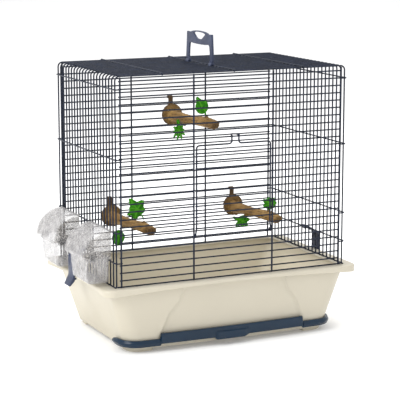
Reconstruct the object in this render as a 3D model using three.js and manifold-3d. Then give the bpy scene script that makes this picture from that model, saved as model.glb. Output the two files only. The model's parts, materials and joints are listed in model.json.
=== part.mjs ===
// Bird cage: a wire top on a plastic tray, with a drawer, a drop-down door, a folding handle,
// two hooded feeders, two tray clips and three leafy perches. Millimetres, +Z up, front at -Y.
import * as THREE from "three";
import { mergeVertices } from "three/addons/utils/BufferGeometryUtils.js";
import Module from "manifold-3d";

// Wire top: the box between the centre lines of its outer wires
const cageWidth = 404;
const cageDepth = 248;
const cageHeight = 330;
const wireDiameter = 2.2;
const weldDepth = 0.25; // how far crossing wires sink into each other
const hoopGaps = 20; // gaps between the 21 wires that run up, over and down
const hoopBendRadius = 7.5;
const rowPitch = 12;
const rowCount = 27; // level wires of the front and back above the bottom wire
const firstRowHeight = 10;
const uprightInset = 7.5; // end uprights stand this far inside the hoops
const doorwayWidth = 140;
// Heights of the side wires that run from front to back
const pivotRailHeight = 38.5; // the feeders hang on it and the clips turn on it
const feederRailHeight = 86.5;
const middleRailHeight = 201.5;
const topRailDrop = 20; // below the roof's hoops
const roofRailSpacing = 124;
const roofHookDrop = 3.5; // its ends turn down this far in front of and behind the end hoops
const rowOverhang = 2;
const panelTopRise = 6.5; // uprights end this far above the top row

// Clearances
const seatGap = 0.3; // between pieces that rest on or hook round each other
const cutOverrun = 5; // cuts run this far past a face
const hookGap = 0.35;

// Tray
const trayHeight = 110.6;
const footHeight = 12;
const shell = 2.5;
const rimReach = 24; // rim edge outside the hoops
const rimReachDepth = 16;
const rimDrop = 5.5; // the skirt is this deep half way along each side
const rimArch = 6.5; // and this much deeper at the corners
const rimRound = 2.5;
const rimCorner = 29;
const ledgeReach = 3; // the inner ledge runs this far inside the hoops
const wallReach = 9;
const wallReachDepth = 7.4;
const wallCorner = 38;
const baseInset = 20; // the foot of the wall stands this far inside the hoops
const baseInsetDepth = 6;
const baseCorner = 36;
const frontBow = 6; // the front wall swells out by this much half way along its foot
const frontBowTop = 2;
const footInset = 10; // from the foot of the wall to a foot's outer side
const footWidth = 37;
const footDepth = 34;

// Drawer
const panInset = 6.5; // beside the taller middle part of the band
const panHeight = 12.5;
const panWall = 2;
const panGap = 0.8;
const panBackInset = 14;
const guideWall = 2;
const guideHeight = 10;
const bandThickness = 6;
const bandGap = 0.6;
const bandInset = 54; // the taller middle part ends this far inside the foot of the wall
const bandHeight = 17;
const bandRise = 1.5; // its lower edge above the underside of the tray
const wingZ = 10;
const wingHeight = 11;
const wingLength = 34; // the wings reach this far back from the foot of the front wall
const wingFlare = 4; // they stand this much further from the tray at their ends
const pullMinX = -35;
const pullMaxX = 29;
const pullReach = 4;
const pullDrop = 3;
const pullHeight = 7;

// Door
const doorSideGap = 4.5; // from a doorway post's centre to the door's side wire
const doorCorner = 6;
const doorFirstRow = 5; // index of the row that carries the hinge eyes
const doorTopRow = 17;
const eyeSideGap = 2.7; // from a doorway post's centre to an eye
const eyeRise = 12;
const latchHalfWidth = 6.2;
const latchCentre = 2.5; // the catch stands a little off the middle
const doorTopRise = 1; // top wire above the row behind it
const latchReturn = 1.6; // how far behind the row the catch ends
const latchGap = 0.5;

// Carry handle, sizes above the rail it turns on
const handleBaseFlare = 2.85; // the posts' outer sides start this far outside the eyes
const handleTaper = 4; // and lean in by this much
const handleHeight = 48.4; // ears
const handleCrown = 52.4; // middle of the arch
const handleEarInner = 32; // the arch starts here
const handleThickness = 3.2;
const handlePost = 9.5;
const handleEyeRadius = 3.9;
const handleEyeGap = 0.35; // beside the hoops on both sides of an eye
const handleEyeHoop = 13; // each eye sits between this hoop and the next one
const gripTop = 32.5; // underside of the grip at its ends
const gripSag = 2.2;
const hangHoleHalf = 22.4;
const hangHoleTop = 50.4;
const hangHoleShoulder = 47.5;
const hangHoleBottom = 39;
const hangHoleFoot = 9;

// Tray clips
const clipHalfWidth = 12;
const clipThickness = 2.4;
const clipGap = 0.6; // between the arm and the rim
const clipBarrelRadius = 3.4;
const clipShoulderDrop = 13; // below the pivot wire, where the arm turns straight down
const clipToothGap = 2.1; // under the rim, so that the tooth clears it as the clip swings out
const clipToothReach = 4.6;
const clipToothHeight = 2;
const clipToothRoot = 3.6;
const clipPaddleDrop = 8; // below the tooth
const clipPaddleKick = 7.5;
const clipPaddleThickness = 3;

// Feeders
const feederWidth = 84;
const cupTopReach = 40;
const cupBottomReach = 32;
const cupHeight = 46;
const cupFloorRise = 4; // cup underside above the bottom wire
const cupWall = 2;
const cupCorner = 8;
const cupTaper = 4;
const cupBackHeight = 38;
const cupHookThickness = 1.2;
const cupHookDrop = 5;
const hoodReach = 47;
const hoodTop = 90.6; // above the bottom wire
const hoodBottom = 46;
const hoodWall = 1.8;
const hoodSideGap = 0.4;
const hoodSteps = 8;
const pivotReach = 31;
const pivotHeight = 47;
const pivotRadius = 3;
const pivotHead = 5.5;
const pivotHeadThickness = 1.6;
const pivotGap = 0.35;
const feederHoops = [
  { name: "front", from: 1, to: 8 },
  { name: "rear", from: 12, to: 19 },
];

// Perches: a round foot hooked on the back wires, a branch and two leaves
const perchFootRadius = 18.8;
const perchFootThickness = 5;
const perchLength = 152;
const perchDrift = 12; // the branch ends this far to the right of its foot
const perchSink = 1; // and this far below it
const branchRadius = 7.4;
const perchTabWidth = 9.4;
const perchTabOffset = -2.5; // the tab stands a little left of the foot's middle
const perchLip = 1.2;
const perchLipDrop = 4;
const perchHookRows = 3; // the tab hooks over this row, counted up from the one below the foot
const knotRadius = 3.4;
const leafLength = 24;
const leafThickness = 1.2;
const leafStalk = 1.1;
const leafStalkLength = 6;
const upperPerchX = 3.5;
const leftPerchX = -111;
const rightPerchX = 121.5;
const upperPerchRow = 18; // index of the row just below the middle of the foot
const lowerPerchRow = 4;

// Facets
const wireSides = 6;
const bendSteps = 3;
const cornerSteps = 5;
const traySteps = 6;
const roundSides = 24;
const branchSides = 10;

const wireRadius = wireDiameter / 2;
const layer = wireDiameter - weldDepth; // from one wire's centre to that of a wire welded on it
const halfWidth = cageWidth / 2;
const halfDepth = cageDepth / 2;
const floorZ = trayHeight + seatGap + wireRadius; // centre of the bottom wires
const roofZ = floorZ + cageHeight;
const halfGap = seatGap / 2;
const hoopPitch = cageDepth / hoopGaps;
const hoopY = (i) => -halfDepth + i * hoopPitch;
const edge = (i) => hoopY(i) + hoopPitch / 2; // half way to the next hoop
const rowZ = (i) => floorZ + firstRowHeight + i * rowPitch;
const railZ = [
  floorZ + pivotRailHeight,
  floorZ + feederRailHeight,
  floorZ + middleRailHeight,
  roofZ - topRailDrop,
];
const railX = halfWidth + layer;
const hoopTopZ = roofZ - hoopBendRadius;
const uprightX = [
  -halfWidth + uprightInset,
  -doorwayWidth / 2,
  doorwayWidth / 2,
  halfWidth - uprightInset,
];

const wasm = await Module();
wasm.setup();
const vec = (x, y, z) => new THREE.Vector3(x, y, z);
const X = vec(1, 0, 0);
const Y = vec(0, 1, 0);
const Z = vec(0, 0, 1);

// A closed three.js geometry as a solid that can be joined and cut.
function solid(geometry) {
  const plain = geometry.clone();
  plain.deleteAttribute("normal");
  plain.deleteAttribute("uv");
  const merged = mergeVertices(plain);
  return new wasm.Manifold(
    new wasm.Mesh({
      numProp: 3,
      vertProperties: new Float32Array(merged.attributes.position.array),
      triVerts: new Uint32Array(merged.index.array),
    }),
  );
}
const join = (solids) => solids.reduce((all, next) => all.add(next));
const between = (a, b) => [Math.min(a, b), Math.max(a, b)];
const range = (from, to) => Array.from({ length: to - from + 1 }, (_, i) => from + i);
const sides = [-1, 1];
const cut = (body, ...tools) => body.subtract(join(tools));

function box(minX, maxX, minY, maxY, minZ, maxZ) {
  const shape = new THREE.BoxGeometry(maxX - minX, maxY - minY, maxZ - minZ);
  return solid(
    shape.translate((minX + maxX) / 2, (minY + maxY) / 2, (minZ + maxZ) / 2),
  );
}

// A round bar between two points.
function bar(from, to, radius, sides = roundSides) {
  const along = to.clone().sub(from);
  const shape = new THREE.CylinderGeometry(radius, radius, along.length(), sides);
  shape.applyQuaternion(
    new THREE.Quaternion().setFromUnitVectors(Y, along.clone().normalize()),
  );
  const middle = from.clone().add(to).divideScalar(2);
  return solid(shape.translate(middle.x, middle.y, middle.z));
}

// A path in one plane. A corner of the section stays in that plane and points away from the path.
class WirePath extends THREE.Curve {
  constructor(points, planeNormal) {
    super();
    this.points = points;
    this.planeNormal = planeNormal;
  }
  getPoint(t) {
    return this.points[Math.round(t * (this.points.length - 1))].clone();
  }
  getSpacedPoints() {
    return this.points;
  }
  computeFrenetFrames() {
    const last = this.points.length - 1;
    const tangents = this.points.map((p, i) => {
      const before = this.points[Math.max(i - 1, 0)];
      const after = this.points[Math.min(i + 1, last)];
      return after.clone().sub(before).normalize();
    });
    const binormals = tangents.map((t) =>
      this.planeNormal.clone().addScaledVector(t, -this.planeNormal.dot(t)).normalize(),
    );
    const normals = tangents.map((t, i) => binormals[i].clone().cross(t));
    return { tangents, normals, binormals };
  }
}

const wireSection = new THREE.Shape(
  Array.from({ length: wireSides }, (_, i) => {
    const a = (i / wireSides) * 2 * Math.PI;
    return new THREE.Vector2(wireRadius * Math.cos(a), wireRadius * Math.sin(a));
  }),
);
function wire(points, planeNormal) {
  const extrudePath = new WirePath(points, planeNormal);
  return solid(
    new THREE.ExtrudeGeometry(wireSection, {
      steps: points.length - 1,
      extrudePath,
    }),
  );
}

// Points of an arc in the plane of two unit directions.
function arc(centre, radius, from, to, start, end, steps = bendSteps) {
  return Array.from({ length: steps + 1 }, (_, i) => {
    const a = start + ((end - start) * i) / steps;
    return centre
      .clone()
      .addScaledVector(from, radius * Math.cos(a))
      .addScaledVector(to, radius * Math.sin(a));
  });
}

// A solid skin over rings of equal point counts, closed at both ends.
function loft(rings) {
  const count = rings[0].length;
  const points = rings.flat();
  const index = [];
  for (let r = 0; r < rings.length - 1; r++)
    for (let i = 0; i < count; i++) {
      const a = r * count + i;
      const b = r * count + ((i + 1) % count);
      index.push(a, b, b + count, a, b + count, a + count);
    }
  const cap = (ring, offset, flip) => {
    const middle = ring.reduce((sum, p) => sum.add(p), vec(0, 0, 0));
    points.push(middle.divideScalar(count));
    for (let i = 0; i < count; i++) {
      const [a, b] = [offset + i, offset + ((i + 1) % count)];
      if (flip) index.push(b, a, points.length - 1);
      else index.push(a, b, points.length - 1);
    }
  };
  cap(rings[0], 0, true);
  cap(rings[rings.length - 1], (rings.length - 1) * count, false);
  const geometry = new THREE.BufferGeometry().setFromPoints(points);
  geometry.setIndex(index);
  return solid(geometry);
}

// A rounded rectangle. Its straight sides have sideSteps steps and its front swells out by bow.
function outline(halfX, halfY, radius, bow = 0, sideSteps = 1) {
  const quarter = Math.PI / 2;
  const signs = [
    [1, 1],
    [-1, 1],
    [-1, -1],
    [1, -1],
  ];
  const onCorner = (k, share) => {
    const [sx, sy] = signs[k % 4];
    const a = quarter * (k + share);
    return new THREE.Vector2(
      sx * (halfX - radius) + radius * Math.cos(a),
      sy * (halfY - radius) + radius * Math.sin(a),
    );
  };
  const points = [];
  for (let k = 0; k < 4; k++) {
    for (let i = 0; i <= cornerSteps; i++) points.push(onCorner(k, i / cornerSteps));
    for (let i = 1; i < sideSteps; i++)
      points.push(onCorner(k, 1).lerp(onCorner(k + 1, 0), i / sideSteps));
  }
  for (const p of points)
    if (p.y < 0) p.y -= bow * Math.max(0, 1 - (p.x / halfX) ** 2);
  return points;
}
const trayOutline = (halfX, halfY, radius, bow) =>
  outline(halfX, halfY, radius, bow, traySteps);
const ringAt = (halfX, halfY, radius, z, bow) =>
  trayOutline(halfX, halfY, radius, bow).map((p) => vec(p.x, p.y, z));

function prism(shape, minZ, maxZ) {
  const geometry = new THREE.ExtrudeGeometry(shape, {
    depth: maxZ - minZ,
    bevelEnabled: false,
    curveSegments: cornerSteps,
  });
  return solid(geometry.translate(0, 0, minZ));
}

// A flat plate drawn in X and Z, from minY to maxY.
function plate(shape, minY, maxY) {
  const geometry = new THREE.ExtrudeGeometry(shape, {
    depth: maxY - minY,
    bevelEnabled: false,
    curveSegments: cornerSteps,
  });
  return solid(geometry.rotateX(Math.PI / 2).translate(0, maxY, 0));
}
const shapeOf = (pairs) =>
  new THREE.Shape(pairs.map(([x, y]) => new THREE.Vector2(x, y)));
// The same with its mirror image across the middle, from the bottom right upwards.
const bothHalves = (pairs) => {
  const left = pairs.map(([x, y]) => [-x, y]).reverse();
  return shapeOf([...pairs, ...left.filter(([x]) => x !== 0)]);
};

const cage = new THREE.Group();
const finish = (color, roughness, metalness = 0, opacity = 1) => ({
  color,
  roughness,
  metalness,
  opacity,
  transparent: opacity < 1,
});
const wirePaint = finish(0x2b2f3a, 0.45, 0.3);
const creamPlastic = finish(0xe6dfcb, 0.45);
const bluePlastic = finish(0x26425c, 0.3);
const slatePlastic = finish(0x4a5468, 0.5);
const clearPlastic = finish(0xe4e2e8, 0.1, 0, 0.35);
const woodPlastic = finish(0x8a6a42, 0.65);
const leafPlastic = finish(0x3f8f1c, 0.5);

function add(name, body, look) {
  const { vertProperties, triVerts } = body.getMesh();
  const geometry = new THREE.BufferGeometry();
  geometry.setAttribute("position", new THREE.BufferAttribute(vertProperties, 3));
  geometry.setIndex(new THREE.BufferAttribute(triVerts, 1));
  geometry.computeVertexNormals();
  const mesh = new THREE.Mesh(geometry, new THREE.MeshStandardMaterial(look));
  mesh.name = name;
  cage.add(mesh);
  return mesh;
}

// Tray: wall, inner ledge, turned-down rim, feet, drawer slot and drawer guides
const baseHalfWidth = halfWidth - baseInset;
const baseHalfDepth = halfDepth - baseInsetDepth;
const wallTopX = halfWidth + wallReach;
const wallTopY = halfDepth + wallReachDepth;
const ledgeX = halfWidth - ledgeReach;
const ledgeY = halfDepth - ledgeReach;
const rimX = halfWidth + rimReach;
const rimY = halfDepth + rimReachDepth;
const rimUnder = trayHeight - shell;
const panFloorZ = footHeight + shell;
const wallShare = (z) => (z - footHeight) / (rimUnder - footHeight);
const wallX = (z) => baseHalfWidth + (wallTopX - baseHalfWidth) * wallShare(z);
const wallY = (z) => baseHalfDepth + (wallTopY - baseHalfDepth) * wallShare(z);

// The skirt's lower edge arches: it is highest half way along each side.
function skirtRing(halfX, halfY) {
  return trayOutline(halfX, halfY, rimCorner).map((p) => {
    const cornerShare = Math.abs((p.x * p.y) / (halfX * halfY)) ** 2;
    return vec(p.x, p.y, trayHeight - rimDrop - rimArch * cornerShare);
  });
}
const tubBody = loft([
  ringAt(baseHalfWidth, baseHalfDepth, baseCorner, footHeight, frontBow),
  ringAt(wallTopX, wallTopY, wallCorner, rimUnder, frontBowTop),
  ringAt(rimX - shell, rimY - shell, rimCorner - shell, rimUnder),
  skirtRing(rimX - shell, rimY - shell),
  skirtRing(rimX, rimY),
  ringAt(rimX, rimY, rimCorner, trayHeight - rimRound),
  ringAt(rimX - rimRound, rimY - rimRound, rimCorner - rimRound, trayHeight),
  ringAt(ledgeX, ledgeY, wallCorner - wallReach, trayHeight),
  ringAt(ledgeX, ledgeY, wallCorner - wallReach, rimUnder),
  ringAt(wallTopX - shell, wallTopY - shell, wallCorner - shell, rimUnder, frontBowTop),
  ringAt(
    wallX(panFloorZ) - shell,
    wallY(panFloorZ) - shell,
    baseCorner - shell,
    panFloorZ,
    frontBow,
  ),
]);
const footOuter = baseHalfWidth - footInset;
const footInner = footOuter - footWidth;
const footPad = prism(
  new THREE.Shape(outline(baseHalfWidth, baseHalfDepth, baseCorner)),
  0,
  footHeight + shell / 2,
);
const feet = sides.flatMap((sx) =>
  sides.map((sy) => {
    const acrossX = between(sx * footInner, sx * footOuter);
    const acrossY = between(
      sy * (baseHalfDepth - footDepth),
      sy * (baseHalfDepth + cutOverrun),
    );
    return footPad.intersect(
      box(...acrossX, ...acrossY, -cutOverrun, footHeight + cutOverrun),
    );
  }),
);
const bandHalfWidth = baseHalfWidth - bandInset;
const panHalfWidth = bandHalfWidth - panInset;
const guideX = panHalfWidth + panGap;
const guideEndY = baseHalfDepth - panBackInset;
const guides = sides.map((s) =>
  box(
    ...between(s * guideX, s * (guideX + guideWall)),
    -baseHalfDepth + shell,
    guideEndY,
    footHeight + shell / 2,
    panFloorZ + guideHeight,
  ),
);
const slotTopZ = panFloorZ + panHeight + 2 * panGap;
// In front of all that the drawer and its slot reach
const frontEndY =
  Math.max(baseHalfDepth, wallTopY) + frontBow + bandThickness + wingFlare + cutOverrun;
const slotBackY = Math.min(wallY(panFloorZ), wallY(slotTopZ)) - shell;
const slot = box(-guideX, guideX, -frontEndY, -slotBackY, panFloorZ, slotTopZ);
add("tray", cut(join([tubBody, ...feet, ...guides]), slot), creamPlastic);

// Drawer: a shallow pan behind a bowed front band whose low wings wrap the tray's corners
const bandZ = footHeight + bandRise;
const bandTopZ = bandZ + bandHeight;
const wingTopZ = wingZ + wingHeight;
const bandX = wallX(bandTopZ) + bandGap;
const bandY = wallY(bandTopZ) + bandGap;
const wingX = wallX(wingTopZ) + bandGap;
const wingY = wallY(wingTopZ) + bandGap;
const flatRing = (halfX, halfY, radius) =>
  new THREE.Shape(trayOutline(halfX, halfY, radius, frontBow));
// The inside of the band, or of the pan where it is inset, down to a given height.
function panBlock(inset, minZ, maxZ) {
  const front = prism(
    flatRing(bandX, bandY - seatGap - inset, baseCorner),
    minZ,
    maxZ,
  );
  const half = panHalfWidth - inset;
  return front.intersect(
    box(-half, half, -frontEndY, guideEndY - inset, minZ, maxZ),
  );
}
const panZ = panFloorZ + seatGap;
add(
  "drawer_pan",
  cut(
    panBlock(0, panZ, panZ + panHeight),
    panBlock(panWall, panZ + panWall, panZ + panHeight + cutOverrun),
  ),
  creamPlastic,
);

function bandStrip(halfX, halfY, minZ, maxZ, flare = 0) {
  const t = bandThickness;
  return cut(
    prism(flatRing(halfX + t + flare, halfY + t, baseCorner + t), minZ, maxZ),
    prism(flatRing(halfX, halfY, baseCorner), minZ - cutOverrun, maxZ + cutOverrun),
  );
}
const wingStart = bandHalfWidth - bandThickness / 2;
const wingEnd = Math.max(wingX, rimX) + bandThickness + wingFlare;
const wingBack = baseHalfDepth - wingLength;
const wings = sides.map((s) =>
  bandStrip(wingX, wingY, wingZ, wingTopZ, wingFlare).intersect(
    box(...between(s * wingStart, s * wingEnd), -frontEndY, -wingBack, 0, trayHeight),
  ),
);
const middle = bandStrip(bandX, bandY, bandZ, bandTopZ).intersect(
  box(-bandHalfWidth, bandHalfWidth, -frontEndY, -wingBack, 0, trayHeight),
);
const pullFace = bandY + frontBow + bandThickness;
const pullShape = shapeOf([
  [pullMinX, -pullFace + bandThickness / 2],
  [pullMinX, -pullFace + bandThickness / 4],
  [pullMinX + pullReach, -pullFace - pullReach],
  [pullMaxX - pullReach, -pullFace - pullReach],
  [pullMaxX, -pullFace + bandThickness / 4],
  [pullMaxX, -pullFace + bandThickness / 2],
]);
const pull = prism(pullShape, bandZ - pullDrop, bandZ + pullHeight);
add("drawer_front", join([...wings, middle, pull]), bluePlastic);

// Front and back: level rows with uprights welded on the outside
function panelFrames({ y, side, rows, bottom, from, to, posts }) {
  const bars = posts.map((x) =>
    wire([vec(x, y + side * layer, from), vec(x, y + side * layer, to)], X),
  );
  const [left, right] = [posts[0] - rowOverhang, posts[posts.length - 1] + rowOverhang];
  for (const i of rows)
    bars.push(wire([vec(left, y, rowZ(i)), vec(right, y, rowZ(i))], Z));
  if (bottom) {
    const reach = halfWidth - wireRadius - seatGap;
    bars.push(wire([vec(-reach, y, floorZ), vec(reach, y, floorZ)], Z));
  }
  return join(bars);
}
const lowerCutZ = (rowZ(doorFirstRow) + rowZ(doorFirstRow + 1)) / 2;
const upperCutZ = (rowZ(doorTopRow) + rowZ(doorTopRow + 1)) / 2;
const panelTopZ = rowZ(rowCount - 1) + panelTopRise;
const frontPanel = { y: -halfDepth, side: -1 };
add(
  "front_grille_lower",
  panelFrames({
    ...frontPanel,
    rows: range(0, doorFirstRow),
    bottom: true,
    from: floorZ,
    to: lowerCutZ - halfGap,
    posts: uprightX,
  }),
  wirePaint,
);
for (const [name, posts] of [
  ["front_grille_left", uprightX.slice(0, 2)],
  ["front_grille_right", uprightX.slice(2)],
])
  add(
    name,
    panelFrames({
      ...frontPanel,
      rows: range(doorFirstRow + 1, doorTopRow),
      from: lowerCutZ + halfGap,
      to: upperCutZ - halfGap,
      posts,
    }),
    wirePaint,
  );
add(
  "front_grille_upper",
  panelFrames({
    ...frontPanel,
    rows: range(doorTopRow + 1, rowCount - 1),
    from: upperCutZ + halfGap,
    to: panelTopZ,
    posts: uprightX,
  }),
  wirePaint,
);
add(
  "back_grille",
  panelFrames({
    y: halfDepth,
    side: 1,
    rows: range(0, rowCount - 1),
    bottom: true,
    from: floorZ,
    to: panelTopZ,
    posts: uprightX,
  }),
  wirePaint,
);

// Sides: the upright legs of the hoops, with rails welded on the outside
const hookOut = halfDepth + layer + wireDiameter + hookGap;
const hookEndX = uprightX[3] - wireRadius;
function sideRail(sx, z, from, to) {
  const path = [];
  const hook = (sy) => [
    vec(sx * hookEndX, sy * hookOut, z),
    vec(sx * (railX - hoopBendRadius / 2), sy * hookOut, z),
    vec(sx * (railX - wireRadius), sy * (hookOut - wireRadius), z),
    vec(sx * railX, sy * (halfDepth + wireRadius), z),
  ];
  if (from === null) path.push(...hook(-1));
  else path.push(vec(sx * railX, from, z));
  if (to === null) path.push(...hook(1).reverse());
  else path.push(vec(sx * railX, to, z));
  return wire(path, Z);
}
// A hoop's bend, parted in the middle facet into a half for the side and one for the roof.
function halfBends(sx, y) {
  const centre = vec(sx * (halfWidth - hoopBendRadius), y, hoopTopZ);
  const out = X.clone().multiplyScalar(sx);
  const points = arc(centre, hoopBendRadius, out, Z, 0, Math.PI / 2);
  const lower = points.slice(0, points.length / 2);
  const upper = points.slice(points.length / 2);
  const from = lower[lower.length - 1];
  const along = upper[0].clone().sub(from);
  const middle = from.clone().addScaledVector(along, 1 / 2);
  along.normalize();
  lower.push(middle.clone().addScaledVector(along, -halfGap));
  upper.unshift(middle.addScaledVector(along, halfGap));
  return { lower, upper };
}
// Wires of one part of a side and the rails that cross them. Legs with no top run into the bend.
function sidePart(sx, legs, bottom, top, rails, from, to) {
  const bars = legs.map((i) => {
    const x = sx * halfWidth;
    const above = top === null ? halfBends(sx, hoopY(i)).lower : [vec(x, hoopY(i), top)];
    return wire([vec(x, hoopY(i), bottom), ...above], Y);
  });
  for (const z of rails) {
    const sill = z === floorZ;
    bars.push(
      sideRail(
        sx,
        z,
        sill && from === null ? hoopY(0) - rowOverhang : from,
        sill && to === null ? hoopY(hoopGaps) + rowOverhang : to,
      ),
    );
  }
  return join(bars);
}
const allRails = [floorZ, ...railZ];
const [first, last] = [edge(0), edge(hoopGaps - 1)];
const [front, rear] = feederHoops;
const strips = [
  ["right_grille_front", 1, [0], null, first],
  ["right_grille", 1, range(1, hoopGaps - 1), first, last],
  ["right_grille_back", 1, [hoopGaps], last, null],
  ["left_grille_front", -1, range(0, front.from), null, edge(front.from)],
  [
    "left_grille_middle",
    -1,
    range(front.to, rear.from),
    edge(front.to - 1),
    edge(rear.from),
  ],
  ["left_grille_rear", -1, range(rear.to, hoopGaps), edge(rear.to - 1), null],
];
// Each part ends half a gap inside its edges. With no edge, its rails end in hooks.
const startOf = (from) => (from === null ? null : from + halfGap);
const endOf = (to) => (to === null ? null : to - halfGap);
for (const [name, sx, legs, from, to] of strips)
  add(
    name,
    sidePart(sx, legs, floorZ, null, allRails, startOf(from), endOf(to)),
    wirePaint,
  );
for (const { name, from, to } of feederHoops) {
  const legs = range(from + 1, to - 1);
  const [start, end] = [startOf(edge(from)), endOf(edge(to - 1))];
  const lower = [floorZ, railZ[0]];
  add(
    "left_grille_below_" + name + "_feeder",
    sidePart(-1, legs, floorZ, railZ[0] + wireRadius, lower, start, end),
    wirePaint,
  );
  add(
    "left_grille_above_" + name + "_feeder",
    sidePart(-1, legs, railZ[1] - wireRadius, null, railZ.slice(1), start, end),
    wirePaint,
  );
}

// Roof: the tops of the hoops with the upper halves of their bends, and three rails whose ends
// turn down over the end hoops
const roofHookOut = halfDepth + wireDiameter + hookGap;
const roofRailZ = roofZ + layer;
function roofPart(hoops, from, to) {
  const bars = hoops.map((i) => {
    const [left, right] = sides.map((sx) => halfBends(sx, hoopY(i)).upper);
    return wire([...left, ...right.reverse()], Y);
  });
  for (const x of [-roofRailSpacing, 0, roofRailSpacing]) {
    const hook = (sy) => [
      vec(x, sy * roofHookOut, roofRailZ - roofHookDrop),
      vec(x, sy * roofHookOut, roofRailZ - wireRadius),
      vec(x, sy * (roofHookOut - wireRadius), roofRailZ),
    ];
    const start = from === null ? hook(-1) : [vec(x, from, roofRailZ)];
    const end = to === null ? hook(1).reverse() : [vec(x, to, roofRailZ)];
    bars.push(wire([...start, ...end], X));
  }
  return join(bars);
}
for (const [name, hoops, from, to] of [
  ["roof_grille_front", [0], null, first],
  ["roof_grille", range(1, hoopGaps - 1), first, last],
  ["roof_grille_back", [hoopGaps], last, null],
])
  add(name, roofPart(hoops, startOf(from), endOf(to)), wirePaint);

// Door: its own rows in a bent frame wire, with hinge eyes round a row and a catch over another
const hingeZ = rowZ(doorFirstRow);
const doorTopZ = rowZ(doorTopRow) + doorTopRise;
const doorHalfWidth = doorwayWidth / 2 - doorSideGap;
const eyeHalfSpacing = doorwayWidth / 2 - eyeSideGap;
const eyeRadius = wireDiameter + hookGap;
const doorY = -halfDepth - eyeRadius;
const catchZ = rowZ(doorTopRow + 1) + wireDiameter + latchGap;
const catchBackY = -halfDepth + latchReturn;
const eye = (sx) =>
  arc(
    vec(sx * eyeHalfSpacing, -halfDepth, hingeZ),
    eyeRadius,
    Y.clone().negate(),
    Z.clone().negate(),
    0,
    1.75 * Math.PI,
    2 * bendSteps,
  );
const frameSide = (sx) => [
  vec(sx * eyeHalfSpacing, doorY, hingeZ + wireDiameter),
  vec(sx * doorHalfWidth, doorY, hingeZ + eyeRise),
  vec(sx * doorHalfWidth, doorY, doorTopZ - doorCorner),
];
const limbX = (sx) => latchCentre + sx * latchHalfWidth;
const cornerCut = doorCorner * (1 - Math.SQRT1_2);
const frameTop = (sx) => [
  vec(sx * (doorHalfWidth - cornerCut), doorY, doorTopZ - cornerCut),
  vec(sx * (doorHalfWidth - doorCorner), doorY, doorTopZ),
  vec(limbX(sx) + sx * wireRadius, doorY, doorTopZ),
  vec(limbX(sx), doorY, doorTopZ + wireRadius),
  vec(limbX(sx), doorY, catchZ),
];
// Each half of the frame wire runs from its eye to the catch.
const halfFrame = (sx) => [
  wire(eye(sx), X),
  wire([vec(sx * eyeHalfSpacing, doorY, hingeZ), ...frameSide(sx), ...frameTop(sx)], Y),
];
// The catch runs back over the row from one limb and returns to the other.
const catchHalf = (sx) => [
  vec(limbX(sx), doorY - wireRadius / 2, catchZ),
  vec(limbX(sx), -halfDepth, catchZ),
  vec(limbX(sx) - sx * wireRadius, catchBackY, catchZ),
];
const catchBar = wire([...catchHalf(-1), ...catchHalf(1).reverse()], Z);
const doorRows = range(doorFirstRow + 1, doorTopRow - 1).map((i) =>
  wire(
    [
      vec(-doorHalfWidth - wireRadius, doorY + layer, rowZ(i)),
      vec(doorHalfWidth + wireRadius, doorY + layer, rowZ(i)),
    ],
    Z,
  ),
);
add(
  "door_grille",
  join([...halfFrame(-1), ...halfFrame(1), catchBar, ...doorRows]),
  wirePaint,
);

// Carry handle: a flat plate over the middle rail, whose eyes turn on that rail between hoops.
// It is drawn round its axle and then turned to stand along the rail.
const eyeInner = hoopY(handleEyeHoop) + wireRadius + handleEyeGap;
const eyeOuter = hoopY(handleEyeHoop + 1) - wireRadius - handleEyeGap;
const handleBaseHalf = eyeOuter + handleBaseFlare;
const handleTopHalf = handleBaseHalf - handleTaper;
// A flat arch from the side to the middle.
function crown(half, low, high) {
  const points = [];
  for (let i = 0; i < bendSteps; i++) {
    const a = (Math.PI / 2) * (i / bendSteps);
    points.push([half * Math.cos(a), low + (high - low) * Math.sin(a)]);
  }
  return [...points, [0, high]];
}
const handleShape = bothHalves([
  [eyeInner, 0],
  [eyeOuter, 0],
  [eyeOuter, handleEyeRadius],
  [handleBaseHalf, handleEyeRadius + handleEyeGap],
  [handleTopHalf, handleHeight],
  ...crown(handleEarInner, handleHeight, handleCrown),
]);
const handleWindow = bothHalves([
  [eyeInner, -cutOverrun],
  [eyeInner, handleEyeRadius],
  [handleBaseHalf - handlePost, handleEyeRadius + handleEyeGap],
  [handleTopHalf - handlePost, gripTop],
  ...crown(handleTopHalf - 2 * handlePost, gripTop - gripSag / 2, gripTop - gripSag),
]);
const hangHole = bothHalves([
  [hangHoleFoot, hangHoleBottom],
  ...crown(hangHoleHalf, hangHoleShoulder, hangHoleTop),
]);
const handleFace = handleThickness / 2;
const through = handleFace + cutOverrun;
const handleBar = (from, to, radius) =>
  bar(vec(from, 0, 0), vec(to, 0, 0), radius, roundSides / 2);
const handleBody = cut(
  join([
    cut(
      plate(handleShape, -handleFace, handleFace),
      plate(handleWindow, -through, through),
      plate(hangHole, -through, through),
    ),
    ...sides.map((s) => handleBar(s * eyeInner, s * eyeOuter, handleEyeRadius)),
  ]),
  handleBar(-eyeOuter - cutOverrun, eyeOuter + cutOverrun, wireRadius + handleEyeGap),
);
const handle = add("carry_handle", handleBody, slatePlastic);
handle.rotation.z = Math.PI / 2;
handle.position.z = roofRailZ;

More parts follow.
